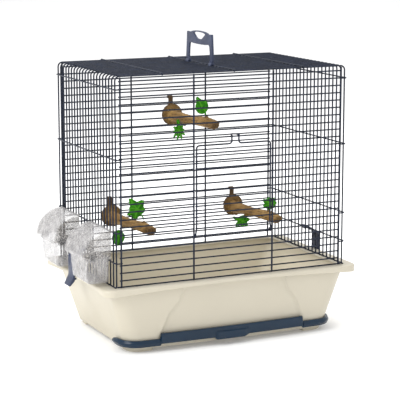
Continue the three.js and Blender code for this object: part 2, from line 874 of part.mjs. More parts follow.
// Tray clips: each barrel turns on a side rail between two legs and its tooth holds the rim
const clipY = (hoopY(hoopGaps / 2) + hoopY(hoopGaps / 2 + 1)) / 2;
const barrelHalf = hoopPitch / 2 - wireRadius - hookGap;
const clipInX = rimX + clipGap;
const toothZ = trayHeight - rimDrop - clipToothGap;
for (const [name, sx] of [
  ["left_clip", -1],
  ["right_clip", 1],
]) {
  const pivot = railZ[0];
  const shoulderZ = pivot - clipShoulderDrop;
  const start = railX + wireRadius + hookGap;
  const toothRootZ = toothZ - clipToothRoot;
  const endZ = toothRootZ - clipPaddleDrop;
  const profile = [
    [start, pivot + clipThickness / 2],
    [start, pivot - clipThickness / 2],
    [clipInX, shoulderZ],
    [clipInX, toothZ],
    [clipInX - clipToothReach, toothZ],
    [clipInX - clipToothReach, toothZ - clipToothHeight],
    [clipInX, toothRootZ],
    [clipInX + clipPaddleKick, endZ],
    [clipInX + clipPaddleKick + clipPaddleThickness, endZ],
    [clipInX + clipThickness, toothZ + clipToothRoot],
    [clipInX + clipThickness, shoulderZ + clipThickness],
    [start + clipThickness, pivot + clipThickness / 2],
  ].map(([x, z]) => [sx * x, z]);
  const body = plate(
    shapeOf(sx > 0 ? profile : profile.reverse()),
    clipY - clipHalfWidth,
    clipY + clipHalfWidth,
  );
  const neck = box(
    ...between(sx * railX, sx * (start + clipThickness)),
    clipY - barrelHalf,
    clipY + barrelHalf,
    pivot - clipThickness / 2,
    pivot + clipThickness / 2,
  );
  const barrel = bar(
    vec(sx * railX, clipY - barrelHalf, pivot),
    vec(sx * railX, clipY + barrelHalf, pivot),
    clipBarrelRadius,
    roundSides / 2,
  );
  const bore = bar(
    vec(sx * railX, clipY - clipHalfWidth - cutOverrun, pivot),
    vec(sx * railX, clipY + clipHalfWidth + cutOverrun, pivot),
    wireRadius + seatGap,
    roundSides / 2,
  );
  add(name, cut(join([body, neck, barrel]), bore), slatePlastic);
}

// Feeders: a clear cup hooked over the lower rail and a hood that tips outwards on two pins
const feederBack = -railX - wireRadius - seatGap;
function cupRing(y, reach, halfY, z, inset) {
  const far = feederBack - reach + inset;
  const near = feederBack - inset;
  const radius = Math.max(cupCorner - inset, cupWall / 2);
  const ring = outline((near - far) / 2, halfY - inset, radius);
  return ring.map((p) => vec((far + near) / 2 + p.x, y + p.y, z));
}
// The hood's side view from its lower back corner over the dome. An inset gives its hollow.
function hoodSide(inset) {
  const reach = hoodReach - inset;
  const rise = hoodTop - hoodBottom - inset;
  const bottom = floorZ + hoodBottom;
  const dome = range(0, hoodSteps).map((i) => {
    const a = ((Math.PI / 2) * i) / hoodSteps;
    return [feederBack - reach * Math.sin(a), bottom + rise * Math.cos(a)];
  });
  if (inset === 0) return shapeOf([[feederBack, bottom], ...dome]);
  return shapeOf([
    [feederBack + cutOverrun, bottom - cutOverrun],
    [feederBack + cutOverrun, bottom + rise],
    ...dome,
    [feederBack - reach, bottom - cutOverrun],
  ]);
}
const cupZ = floorZ + cupFloorRise;
const cupTopZ = floorZ + cupHeight;
const cupHalf = feederWidth / 2 - hoodWall - hoodSideGap;
const hoodHalf = feederWidth / 2;
const pivotX = feederBack - pivotReach;
const pivotZ = floorZ + pivotHeight;
for (const { name, from, to } of feederHoops) {
  const y = (hoopY(from) + hoopY(to)) / 2;
  const shellBody = loft([
    cupRing(y, cupBottomReach, cupHalf - cupTaper, cupZ, 0),
    cupRing(y, cupTopReach, cupHalf, cupTopZ, 0),
    cupRing(y, cupTopReach, cupHalf, cupTopZ, cupWall),
    cupRing(y, cupBottomReach, cupHalf - cupTaper, cupZ + cupWall, cupWall),
  ]);
  // The wall on the cage side ends at the rail, so that the bird can reach in.
  const backTopZ = floorZ + cupBackHeight;
  const notch = box(
    feederBack - cupCorner,
    feederBack + cutOverrun,
    y - cupHalf + cupCorner,
    y + cupHalf - cupCorner,
    backTopZ,
    cupTopZ + cutOverrun,
  );
  const hookTopZ = railZ[0] + wireRadius + seatGap + cupWall;
  const hookHalf = cupHalf - cupCorner - cupWall;
  const hookNearX = -halfWidth + wireRadius + seatGap;
  const hookFarX = hookNearX + cupHookThickness;
  const hookPart = (minX, maxX, minZ) =>
    box(minX, maxX, y - hookHalf, y + hookHalf, minZ, hookTopZ);
  const hook = join([
    hookPart(feederBack - cupWall, hookFarX, hookTopZ - cupWall),
    hookPart(feederBack - cupWall, feederBack, backTopZ - cupWall),
    hookPart(hookNearX, hookFarX, hookTopZ - cupHookDrop),
  ]);
  const pins = sides.flatMap((s) => {
    const inY = y + s * (cupHalf - cupTaper);
    const headY = y + s * (hoodHalf + pivotGap);
    const outY = headY + s * pivotHeadThickness;
    return [
      bar(vec(pivotX, inY, pivotZ), vec(pivotX, outY, pivotZ), pivotRadius, roundSides / 2),
      bar(vec(pivotX, headY, pivotZ), vec(pivotX, outY, pivotZ), pivotHead, roundSides / 2),
    ];
  });
  // Ears on the cup's end walls carry the pins.
  const ears = sides.map((s) =>
    box(
      pivotX - pivotHead,
      pivotX + pivotHead,
      ...between(y + s * cupHalf, y + s * (cupHalf - cupWall - cupTaper / 2)),
      cupTopZ - pivotHead,
      pivotZ + pivotRadius + cupWall,
    ),
  );
  add(
    name + "_feeder_cup",
    join([cut(shellBody, notch), hook, ...ears, ...pins]),
    clearPlastic,
  );

  const dome = plate(hoodSide(0), y - hoodHalf, y + hoodHalf);
  const inside = plate(hoodSide(hoodWall), y - hoodHalf + hoodWall, y + hoodHalf - hoodWall);
  const cheeks = sides.map((s) =>
    box(
      pivotX - pivotHead - cupWall,
      pivotX + pivotHead + cupWall,
      ...between(y + s * hoodHalf, y + s * (hoodHalf - hoodWall)),
      pivotZ - pivotHead - cupWall,
      floorZ + hoodBottom + hoodWall,
    ),
  );
  const hinge = bar(
    vec(pivotX, y - hoodHalf - cutOverrun, pivotZ),
    vec(pivotX, y + hoodHalf + cutOverrun, pivotZ),
    pivotRadius + pivotGap,
    roundSides / 2,
  );
  add(
    name + "_feeder_hood",
    cut(join([dome, ...cheeks]), inside, hinge),
    clearPlastic,
  );
}

// Perches: a foot inside the back wires with a tab over one of them, a tapering branch, two leaves
const footBackY = halfDepth - wireRadius - seatGap;
const footFrontY = footBackY - perchFootThickness;
// Stations along the branch: place, thickness and sag, as shares of its length and radius.
const branchShares = [
  { along: 0, size: 2.2, sag: 0 },
  { along: 0.08, size: 1.75, sag: 0.05 },
  { along: 0.2, size: 1.15, sag: 0.2 },
  { along: 0.4, size: 1, sag: 0.2 },
  { along: 0.6, size: 1.04, sag: 0 },
  { along: 0.77, size: 1.2, sag: -0.15 },
  { along: 0.9, size: 1, sag: 0 },
  { along: 1, size: 0.75, sag: 0.05 },
];
// Twigs: place, height and the way their leaf points, as shares of the branch and of a full turn.
const twigShares = {
  top: { along: 0.77, lift: 1.5, turn: 0.08 },
  low: { along: 0.28, lift: -1.7, turn: 0.4 },
};
const leafOutlineShares = [
  [0.34, -0.06],
  [0.42, 0.2],
  [0.52, 0.46],
  [0.32, 0.66],
  [0, 1],
];
function branchPoint(place, share, lift = 0) {
  const next = branchShares.findIndex((s) => s.along >= share && s.along > 0);
  const [a, b] = [branchShares[next - 1], branchShares[next]];
  const t = (share - a.along) / (b.along - a.along);
  const sag = a.sag + (b.sag - a.sag) * t;
  return vec(
    place.x + perchDrift * share,
    footFrontY + seatGap - perchLength * share,
    place.z - perchSink * share + (lift - sag) * branchRadius,
  );
}
function perchBody(place) {
  const branch = loft(
    branchShares.map(({ along, size }) => {
      const middle = branchPoint(place, along);
      const r = branchRadius * size;
      return arc(middle, r, X, Z, 0, 2 * Math.PI, branchSides).slice(0, -1);
    }),
  );
  const foot = bar(
    vec(place.x, footFrontY, place.z),
    vec(place.x, footBackY, place.z),
    perchFootRadius,
  );
  const hookZ = rowZ(place.rowBelow + perchHookRows) + wireRadius + seatGap;
  const half = perchTabWidth / 2;
  const tabX = place.x + perchTabOffset;
  const across = [tabX - half, tabX + half];
  const lipY = halfDepth + wireRadius + seatGap;
  const tab = [
    box(...across, footFrontY, footBackY, place.z, hookZ + perchLip),
    box(...across, footFrontY, lipY + perchLip, hookZ, hookZ + perchLip),
    box(...across, lipY, lipY + perchLip, hookZ - perchLipDrop, hookZ + perchLip),
  ];
  const twigs = Object.values(twigShares).map(({ along, lift }) =>
    bar(
      branchPoint(place, along),
      branchPoint(place, along, lift),
      knotRadius,
      branchSides,
    ),
  );
  return join([branch, foot, ...tab, ...twigs]);
}
// A lobed leaf on its stalk, drawn upwards from the origin in X and Z.
function leafBody() {
  const half = leafOutlineShares.map(([x, z]) => [
    x * leafLength,
    leafStalkLength + z * leafLength,
  ]);
  const blade = plate(bothHalves(half), -leafThickness / 2, leafThickness / 2);
  const stalkTop = leafStalkLength + leafLength / 4;
  return blade.add(bar(vec(0, 0, 0), vec(0, 0, stalkTop), leafStalk, branchSides));
}
for (const [name, x, rowBelow] of [
  ["upper", upperPerchX, upperPerchRow],
  ["left", leftPerchX, lowerPerchRow],
  ["right", rightPerchX, lowerPerchRow],
]) {
  const z = (rowZ(rowBelow) + rowZ(rowBelow + 1)) / 2;
  const place = { name, x, z, rowBelow };
  add(place.name + "_perch", perchBody(place), woodPlastic);
  for (const [side, { along, lift, turn }] of Object.entries(twigShares)) {
    const leaf = add(place.name + "_perch_leaf_" + side, leafBody(), leafPlastic);
    leaf.position.copy(branchPoint(place, along, lift));
    leaf.position.z += Math.sign(lift) * (seatGap + leafStalk);
    leaf.rotation.y = -2 * Math.PI * turn;
  }
}

// The part's origin is the middle of the underside of its box.
const bounds = new THREE.Box3().setFromObject(cage);
const centre = bounds.getCenter(vec(0, 0, 0));
cage.position.set(-centre.x, -centre.y, -bounds.min.z);

export default cage;
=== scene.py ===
"""Bird cage: smooth wires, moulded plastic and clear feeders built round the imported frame.

Sizes are in millimetres, measured from the middle of the wire box in X and Y and from the underside
of the feet in Z. A mesh gets its points in metres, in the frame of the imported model.
"""

import json
import math

import bmesh
import bpy
import numpy as np
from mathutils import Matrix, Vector
from mathutils.geometry import tessellate_polygon


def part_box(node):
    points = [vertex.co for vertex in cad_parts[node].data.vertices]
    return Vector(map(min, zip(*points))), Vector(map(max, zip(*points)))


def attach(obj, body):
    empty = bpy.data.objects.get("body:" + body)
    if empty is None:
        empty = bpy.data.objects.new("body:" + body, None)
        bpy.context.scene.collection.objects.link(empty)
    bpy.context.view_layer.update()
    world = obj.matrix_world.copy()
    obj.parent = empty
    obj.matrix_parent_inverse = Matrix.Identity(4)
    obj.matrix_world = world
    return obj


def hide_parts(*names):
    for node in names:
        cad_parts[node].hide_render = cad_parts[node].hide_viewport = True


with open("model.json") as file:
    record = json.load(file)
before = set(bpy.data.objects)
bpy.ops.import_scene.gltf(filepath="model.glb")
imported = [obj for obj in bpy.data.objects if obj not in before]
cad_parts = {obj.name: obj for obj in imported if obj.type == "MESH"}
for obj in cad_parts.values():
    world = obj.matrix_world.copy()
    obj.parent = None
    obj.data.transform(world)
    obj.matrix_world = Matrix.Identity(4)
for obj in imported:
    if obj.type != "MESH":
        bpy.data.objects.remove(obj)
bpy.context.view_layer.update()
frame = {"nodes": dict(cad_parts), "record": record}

MM = 0.001
X, Y, Z = range(3)
wire_low, wire_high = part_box("front_grille_lower")
SHIFT = np.array([(wire_low[0] + wire_high[0]) / 2 / MM, 0.0, 0.0])

# Camera, fitted to the corners of the wire box in the photo
CAMERA_PLACE = (-1.0994, -2.344, 0.697)
CAMERA_YAW = math.radians(25.28)
CAMERA_PITCH = math.radians(10.51)
CAMERA_LENS = 142.02
CAMERA_SHIFT = (0.00025, -0.00275)

# Wire top
HALF_WIDTH = 202.0
HALF_DEPTH = 124.0
FLOOR_Z = 112.0
ROOF_Z = 442.0
WIRE_RADIUS = 1.1
POST_RADIUS = 1.45
ROW_RADIUS = 1.15
DOOR_RADIUS = 1.3
HOOP_RADIUS = 1.22
WELD_DEPTH = 0.25
LAYER = 2 * WIRE_RADIUS - WELD_DEPTH
HOOP_GAPS = 20
HOOP_BEND = 7.5
ROW_PITCH = 12.0
ROW_COUNT = 27
FIRST_ROW = 10.0
UPRIGHT_INSET = 7.5
DOORWAY_HALF = 70.0
RAIL_HEIGHTS = (38.5, 86.5, 201.5, 310.0)
ROOF_RAIL_SPACING = 124.0
ROOF_HOOK_DROP = 3.5
OVERHANG = 2.0
PANEL_RISE = 6.5
HOOK_GAP = 0.35
SEAT_GAP = 0.3

# Tray
TRAY_TOP = 110.6
FOOT_HEIGHT = 12.0
SHELL = 2.5
RIM_REACH = (24.0, 16.0)
RIM_DROP = 5.5
RIM_ARCH = 6.5
RIM_ROUND = 3.2
RIM_CORNER = 18.0
LEDGE_REACH = 3.0
WALL_REACH = (9.0, 7.4)
WALL_CORNER = 24.0
BASE_HALF = (182.0, 118.0)
BASE_CORNER = 26.0
BASE_FILLET = 4.0
SKIRT_Z = 6.5
FRONT_BOW = 6.0
FRONT_BOW_TOP = 2.0

# Drawer
BAND_THICKNESS = 6.0
BAND_GAP = 0.6
BAND_HALF = 128.0
BAND_LOW = 13.5
BAND_HIGH = 30.5
WING_LOW = 10.0
WING_HIGH = 21.0
WING_BACK = 74.0
WING_FLARE = 4.0


def hoop_y(i):
    """Place of hoop i along the depth."""
    return -HALF_DEPTH + i * 2 * HALF_DEPTH / HOOP_GAPS


def row_z(i):
    """Height of level front wire i."""
    return FLOOR_Z + FIRST_ROW + i * ROW_PITCH


def smooth(low, high, x):
    """Rises from 0 at low to 1 at high with level ends."""
    t = np.clip((x - low) / (high - low), 0, 1)
    return t * t * (3 - 2 * t)


def ripple(turn, along, seed, counts):
    """A sum of seeded sine waves that run round and along a piece, between about -1 and 1."""
    rng = np.random.default_rng(seed)
    total = 0 * turn * along
    for count in counts:
        phase, lean, drift = rng.uniform(0, 6.28, 3)
        total = total + np.sin(count * turn + phase + lean * along + 1.2 * np.sin(drift * along + phase))
    return total / len(counts)


def round_turn(count):
    """Angles once round, the first at 0."""
    return np.linspace(0, 2 * math.pi, count, endpoint=False)


# Materials


class Finish:
    """A node material round one Principled shader, with helpers that add detail to it."""

    def __init__(self, name, color, roughness, shine):
        self.color = color
        self.material = bpy.data.materials.new(name)
        self.material.use_nodes = True
        self.tree = self.material.node_tree
        self.shader = self.tree.nodes["Principled BSDF"]
        self.shade("Base Color", (*color, 1))
        self.shade("Roughness", roughness)
        self.shade("Specular IOR Level", shine)
        self.place = self.node("ShaderNodeTexCoord").outputs["Object"]
        self.bump = {}

    def fill(self, socket, value):
        """Gives a socket a number or a colour, or links another node's output to it."""
        if isinstance(value, bpy.types.NodeSocket):
            self.tree.links.new(value, socket)
        else:
            socket.default_value = value

    def shade(self, key, value):
        self.fill(self.shader.inputs[key], value)

    def node(self, kind, inputs=(), **settings):
        """A new node with its settings and with pairs of inputs and values."""
        made = self.tree.nodes.new(kind)
        for key, value in settings.items():
            setattr(made, key, value)
        for key, value in dict(inputs).items():
            self.fill(made.inputs[key], value)
        return made

    def noise(self, scale, detail=4.0, stretch=(1, 1, 1)):
        """Noise on the object's coordinates. A stretch below 1 draws it out along that axis."""
        spot = self.node("ShaderNodeMapping", {"Scale": stretch, "Vector": self.place}).outputs["Vector"]
        inputs = {"Scale": scale, "Detail": detail, "Vector": spot}
        return self.node("ShaderNodeTexNoise", inputs).outputs["Fac"]

    def tone(self):
        """The tone that each vertex carries."""
        return self.node("ShaderNodeAttribute", attribute_name="tone").outputs["Fac"]

    def ramp(self, value, stops):
        """A colour ramp: stops are places with their colours."""
        made = self.node("ShaderNodeValToRGB", {"Fac": value})
        band = made.color_ramp
        while len(band.elements) < len(stops):
            band.elements.new(0.5)
        for element, (at, color) in zip(band.elements, stops):
            element.position = at
            element.color = (*color, 1)
        return made.outputs["Color"]

    def mottle(self, value, dark, light, start=0.3):
        """The finish's colour made from dark times to light times as bright."""
        ends = ((start, dark), (0.7, light))
        return self.ramp(value, [(at, [min(1.0, c * share) for c in self.color]) for at, share in ends])

    def spread(self, value, low, high, start=0.3, end=0.7):
        """The value from start to end becomes low to high."""
        ends = {"From Min": start, "From Max": end, "To Min": low, "To Max": high}
        return self.node("ShaderNodeMapRange", {**ends, "Value": value}).outputs["Result"]

    def toned(self, a, b):
        """Coloured a where the vertex tone is 0 and b where it is 1. Either may be a plain colour."""
        a, b = ((*c, 1) if isinstance(c, tuple) else c for c in (a, b))
        made = self.node("ShaderNodeMix", {"Factor": self.tone(), 6: a, 7: b}, data_type="RGBA")
        self.colour(made.outputs[2])

    def added(self, value, share, more):
        """The value times share, plus more."""
        inputs = {0: value, 1: share, 2: more}
        return self.node("ShaderNodeMath", inputs, operation="MULTIPLY_ADD").outputs[0]

    def colour(self, value):
        self.shade("Base Color", value)

    def rough(self, value, low, high):
        self.shade("Roughness", self.spread(value, low, high))

    def raise_by(self, value, depth, strength=1.0):
        """Adds a bump of that depth in metres on top of those made before."""
        inputs = {"Distance": depth, "Strength": strength, "Height": value, **self.bump}
        self.bump = {"Normal": self.node("ShaderNodeBump", inputs).outputs["Normal"]}
        self.shade("Normal", self.bump["Normal"])


def wire_paint():
    """Dark navy enamel with a soft orange peel and slightly thinner, duller patches."""
    made = Finish("dark_navy_enamel", (0.008, 0.012, 0.025), 0.36, 0.22)
    made.colour(made.mottle(made.noise(60, 3), 0.8, 1.5, 0.35))
    made.rough(made.noise(180, 2), 0.3, 0.48)
    made.raise_by(made.noise(900, 2), 0.00006, 0.4)
    return made.material


def cream_plastic():
    """Satin moulded plastic: a faint mottle, a fine sanded grain and long shallow flow marks. The
    inside of the tray, where the tone is 1, is painted paler, as painted light that brightens its shaded
    inside."""
    made = Finish("cream_moulded_plastic", (0.55, 0.508, 0.41), 0.42, 0.45)
    patch = made.noise(9, 5)
    # Painted light: where the tone is 1, on the tray's inside, the cream is painted paler than outside.
    made.toned(made.mottle(patch, 0.97, 1.02), made.mottle(patch, 1.3, 1.38))
    made.rough(made.noise(30, 3), 0.36, 0.48)
    made.raise_by(made.noise(2600, 3), 0.00004, 0.35)
    made.raise_by(made.noise(14, 2, (1, 1, 0.25)), 0.0003, 0.12)
    return made.material


def blue_plastic():
    """Deep navy gloss plastic with a fine haze of handling marks."""
    made = Finish("deep_navy_gloss_plastic", (0.004, 0.020, 0.044), 0.2, 0.32)
    made.colour(made.mottle(made.noise(12, 3), 0.9, 1.12))
    made.rough(made.noise(60, 4), 0.15, 0.26)
    made.raise_by(made.noise(28, 2), 0.0002, 0.15)
    return made.material


def slate_plastic():
    """Slate-blue satin plastic with a fine grain."""
    made = Finish("slate_blue_plastic", (0.036, 0.047, 0.09), 0.42, 0.35)
    made.colour(made.mottle(made.noise(40, 4), 0.82, 1.18))
    made.rough(made.noise(150, 3), 0.34, 0.5)
    made.raise_by(made.noise(2200, 2), 0.00005, 0.4)
    return made.material


def clear_plastic():
    """Clear polished plastic: see-through face on and denser at grazing edges, with painted dark and
    bright stripes, painted shade and painted highlights that stand in for light bent by its wavy
    walls, and fine grained end walls."""
    made = Finish("clear_plastic", (0.5, 0.5, 0.52), 0.06, 0.8)
    painted_light_streak = made.noise(210, 2.5, (1, 1, 0.35))
    # Painted shade and painted highlights: stripes from dull grey to near white that stand in for light
    # bent by the wavy walls.
    dull, grey, pale = (0.29, 0.288, 0.30), (0.42, 0.41, 0.41), (0.53, 0.515, 0.51)
    clear = made.ramp(painted_light_streak, [(0.36, dull), (0.46, grey), (0.6, pale), (0.7, (0.8, 0.79, 0.79))])
    dark, sand, chalk = (0.10, 0.096, 0.10), (0.34, 0.32, 0.30), (0.72, 0.69, 0.66)
    grain = made.ramp(made.noise(620, 2), [(0.38, dark), (0.54, sand), (0.63, chalk)])
    made.toned(clear, grain)
    facing = made.node("ShaderNodeLayerWeight", {"Blend": 0.2}).outputs["Facing"]
    haze = made.spread(painted_light_streak, 0.12, 0.18, 0.42, 0.66)
    frost = made.added(made.tone(), 0.36, haze)
    made.shade("Alpha", made.added(facing, 0.85, frost))
    made.rough(made.noise(60, 3), 0.04, 0.12)
    made.raise_by(made.noise(60, 3), 0.0012, 0.6)
    return made.material


def brown_plastic():
    """Bark-brown plastic: long dark furrows along the branch, lighter worn ridges, dark hollows."""
    made = Finish("bark_brown_plastic", (0.3, 0.18, 0.08), 0.6, 0.18)
    furrow = made.noise(110, 6, (1, 0.14, 1))
    blotch = made.added(furrow, 0.62, made.spread(made.noise(32, 3), 0.0, 0.38))
    deep, brown = (0.070, 0.037, 0.013), (0.165, 0.093, 0.030)
    tan, worn = (0.255, 0.148, 0.048), (0.35, 0.222, 0.084)
    bark = made.ramp(blotch, [(0.2, deep), (0.38, brown), (0.55, tan), (0.8, worn)])
    # Where the tone rises the bark turns dark brown: in the furrows, at the tip, round the foot's rim, on
    # the twigs, and on the tab, where the dark is painted shade.
    made.toned(bark, (0.045, 0.028, 0.018))
    made.rough(furrow, 0.7, 0.52)
    made.raise_by(furrow, 0.0014, 0.8)
    return made.material


def green_plastic():
    """Leaf-green plastic: mottled blade, paler raised veins and darker hollows between them."""
    made = Finish("leaf_green_plastic", (0.05, 0.32, 0.02), 0.5, 0.12)
    patch = made.noise(140, 4)
    deep, green, light = (0.010, 0.105, 0.002), (0.026, 0.215, 0.003), (0.070, 0.33, 0.008)
    blade = made.ramp(patch, [(0.3, deep), (0.52, green), (0.75, light)])
    made.toned(blade, (0.09, 0.36, 0.02))
    made.rough(patch, 0.32, 0.5)
    made.raise_by(patch, 0.0005, 0.4)
    return made.material


FINISHES = {
    made.__name__: made()
    for made in (
        wire_paint, cream_plastic, blue_plastic, slate_plastic, clear_plastic, brown_plastic, green_plastic
    )
}
for part in frame["record"]["subparts"]:
    node = frame["nodes"][part["node"]]
    node.data.materials.clear()
    node.data.materials.append(FINISHES[part["material_slot"]])


# Meshes from grids of points


def grid_faces(rows, columns, wrap=True, close=False):
    """Quads between neighbours of a grid whose columns go round, and rows too where it closes."""
    ids = np.arange(rows * columns).reshape(rows, columns)
    corners = [np.roll(ids, turn, (0, 1)) for turn in ((0, 0), (0, -1), (-1, -1), (-1, 0))]
    quads = np.stack(corners, -1)[: rows if close else rows - 1, : columns if wrap else columns - 1]
    return quads.reshape(-1, 4)


def volume_of(points, faces):
    """Six times the volume inside a closed skin, from fans of triangles; below 0 if inside out."""
    middle = points.mean(0)
    total = 0.0
    for group in faces:
        first = points[group[:, 0]] - middle
        for a, b in zip(group.T[1:-1], group.T[2:]):
            total += np.einsum("ij,ij->", first, np.cross(points[a] - middle, points[b] - middle))
    return total


def cut_flat(outline):
    """Triangles that fill a flat outline, each turned the way the outline goes."""
    cuts = np.array(tessellate_polygon([[Vector(p) for p in outline]]))
    a, b, c = (outline[cuts[:, k]] for k in range(3))
    way = np.cross(outline, np.roll(outline, -1, 0)).sum(0)
    wrong = np.cross(b - a, c - a) @ way < 0
    cuts[wrong] = cuts[wrong][:, ::-1]
    return cuts


class Shell:
    """Closed skins gathered into one mesh. Each vertex carries a tone from 0 to 1."""

    def __init__(self):
        self.points, self.corners, self.sizes, self.tones = [], [], [], []
        self.count = 0

    def take(self, points, faces, tone=0.0):
        """Adds a closed skin, turned to face outwards. faces are index arrays of one size each."""
        self.tones.append(np.broadcast_to(tone, np.shape(points)[:-1]).ravel())
        points = np.asarray(points, float).reshape(-1, 3)
        flip = -1 if volume_of(points, faces) < 0 else 1
        for group in faces:
            self.corners.append((group[:, ::flip] + self.count).ravel())
            self.sizes.append(np.full(len(group), group.shape[1]))
        self.points.append(points)
        self.count += len(points)
        return self

    def tube(self, grid, tone=0.0):
        """A skin over rings, with a flat face at each end."""
        rows, columns = grid.shape[:2]
        ring = np.arange(columns)
        ends = np.stack([ring[::-1], (rows - 1) * columns + ring])
        return self.take(grid, [grid_faces(rows, columns), ends], tone)

    def slab(self, outline, low, high, rim, axis, tone=0.0):
        """A flat piece whose outline lies across an axis and which reaches from low to high along it.
        Quarter circles of radius rim round its edges. Its faces may be hollow, so they are cut into
        triangles."""
        low, high = sorted((low, high))
        a = np.linspace(0, math.pi / 2, 5)
        inset = rim * (1 - np.sin(a))
        depth = rim * (1 - np.cos(a))
        inset = np.concatenate([inset, inset[::-1]])
        level = np.concatenate([low + depth, high - depth[::-1]])
        moved = outline[None] - inset[:, None, None] * outward(outline)[None]
        grid = np.insert(moved, axis, level[:, None], -1)
        rows, columns = grid.shape[:2]
        ends = [cut_flat(grid[0])[:, ::-1], cut_flat(grid[-1]) + (rows - 1) * columns]
        return self.take(grid, [grid_faces(rows, columns), *ends], tone)

    def wire(self, path, axis, radius=WIRE_RADIUS, sides=12, wear=0.35, tone=0.0):
        """Rings round a path: its point plus radius times a unit vector that turns round it. The path
        never runs along the axis. radius may change on the way. Smaller end rings round the cuts."""
        path, normal = np.asarray(path, float), np.eye(3)[axis]
        size = np.broadcast_to(radius, len(path)).astype(float)
        ends = np.diff(path, axis=0)
        start = path[0] + ends[0] / np.linalg.norm(ends[0]) * size[0] * wear
        stop = path[-1] - ends[-1] / np.linalg.norm(ends[-1]) * size[-1] * wear
        path = np.concatenate([path[:1], [start], path[1:-1], [stop], path[-1:]])
        size = np.concatenate([size[:1] * (1 - wear), size, size[-1:] * (1 - wear)])
        tangent = np.gradient(path, axis=0)
        tangent /= np.linalg.norm(tangent, axis=1)[:, None]
        across = normal - tangent * (tangent @ normal)[:, None]
        across /= np.linalg.norm(across, axis=1)[:, None]
        out = np.cross(across, tangent)
        a = round_turn(sides)
        ring = np.cos(a)[None, :, None] * out[:, None] + np.sin(a)[None, :, None] * across[:, None]
        return self.tube(path[:, None] + size[:, None, None] * ring, tone)

    def bead(self, at, radius=1.35, squash=(1, 1, 0.8)):
        """A weld bead: a ball pressed flat, as rings of a sphere between two nearly closed poles."""
        lat = np.linspace(-1.35, 1.35, 6)[:, None]
        lon = round_turn(8)[None]
        ring = [np.cos(lat) * np.cos(lon), np.cos(lat) * np.sin(lon), np.sin(lat) + 0 * lon]
        return self.tube(np.asarray(at, float) + np.stack(ring, -1) * radius * np.array(squash))

    def loop(self, grid, tone=0.0):
        """A skin over rings that come back to the first one."""
        return self.take(grid, [grid_faces(*grid.shape[:2], close=True)], tone)

    def piece(self, name, finish, body="cage", nodes=(), angle=40.0):
        """The mesh as an object that rides on a body and stands for CAD nodes."""
        mesh = bpy.data.meshes.new(name)
        points = (np.concatenate(self.points) + SHIFT) * MM
        corners = np.concatenate(self.corners).astype(np.int32)
        sizes = np.concatenate(self.sizes)
        mesh.vertices.add(len(points))
        mesh.vertices.foreach_set("co", points.astype(np.float32).ravel())
        mesh.loops.add(len(corners))
        mesh.loops.foreach_set("vertex_index", corners)
        mesh.polygons.add(len(sizes))
        mesh.polygons.foreach_set("loop_start", (np.cumsum(sizes) - sizes).astype(np.int32))
        mesh.update(calc_edges=True)
        tones = np.concatenate(self.tones).astype(np.float32)
        mesh.attributes.new("tone", "FLOAT", "POINT").data.foreach_set("value", tones)
        return finished(name, mesh, finish, body, nodes, angle)


def placed(name, data):
    """A new object in the scene."""
    made = bpy.data.objects.new(name, data)
    bpy.context.scene.collection.objects.link(made)
    return made


def finished(name, mesh, finish, body, nodes, angle):
    """A piece with its finish, shaded smooth with sharp edges over the angle."""
    mesh.materials.append(FINISHES[finish])
    mesh.shade_smooth()
    mesh.set_sharp_from_angle(angle=math.radians(angle))
    piece = placed(name, mesh)
    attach(piece, body)
    if nodes:
        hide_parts(*nodes)
    return piece


def written(form, mesh):
    """Writes a bmesh into a mesh and frees it."""
    form.to_mesh(mesh)
    form.free()
    return mesh


def bends(before, at, after, radius, steps):
    """The curve round each corner, from radius short of it, or from half way, to as far beyond it."""
    t = np.linspace(0, 1, steps + 1)[:, None]
    curve = 2 * t * (1 - t) * at[:, None]
    for end, share in ((before - at, (1 - t) ** 2), (after - at, t**2)):
        cut = np.minimum(radius / np.linalg.norm(end, axis=1, keepdims=True), 0.49)
        curve = curve + share * (at + end * cut)[:, None]
    return curve.reshape(-1, at.shape[1])


def rounded_path(corners, radius, steps=5):
    """A path from the first corner to the last, rounded at those between them."""
    corners = np.asarray(corners, float)
    middle = bends(corners[:-2], corners[1:-1], corners[2:], radius, steps)
    return np.concatenate([corners[:1], middle, corners[-1:]])


def closed_path(corners, radius, steps=5):
    """A closed outline rounded at each corner. radius may differ by corner."""
    corners = np.asarray(corners, float)
    radius = np.broadcast_to(radius, len(corners))[:, None]
    return bends(np.roll(corners, 1, 0), corners, np.roll(corners, -1, 0), radius, steps)


def outward(outline):
    """Unit normals of a closed flat outline, pointing out of it."""
    after = np.roll(outline, -1, 0)
    along = after - np.roll(outline, 1, 0)
    normal = np.stack([along[:, 1], -along[:, 0]], 1)
    normal /= np.linalg.norm(normal, axis=1, keepdims=True)
    area = np.sum(outline[:, 0] * after[:, 1] - outline[:, 1] * after[:, 0])
    return normal * np.sign(area)


def turned(profile, x, z, sides=28):
    """A profile of places along Y and radii, turned about the level line through x and z."""
    y, r = np.asarray(profile, float).T
    a = round_turn(sides)[None]
    return np.stack([x + r[:, None] * np.cos(a), y[:, None] + 0 * a, z + r[:, None] * np.sin(a)], -1)


# Wire top

RAIL_X = HALF_WIDTH + LAYER
RAIL_Z = [FLOOR_Z + h for h in RAIL_HEIGHTS]
HOOP_TOP = ROOF_Z - HOOP_BEND
ROOF_RAIL_Z = ROOF_Z + LAYER
POSTS = (-HALF_WIDTH + UPRIGHT_INSET, -DOORWAY_HALF, DOORWAY_HALF, HALF_WIDTH - UPRIGHT_INSET)
PANEL_TOP = row_z(ROW_COUNT - 1) + PANEL_RISE
OPENED_HOOPS = (*range(2, 8), *range(13, 19))
DOOR_FIRST, DOOR_LAST = 5, 17


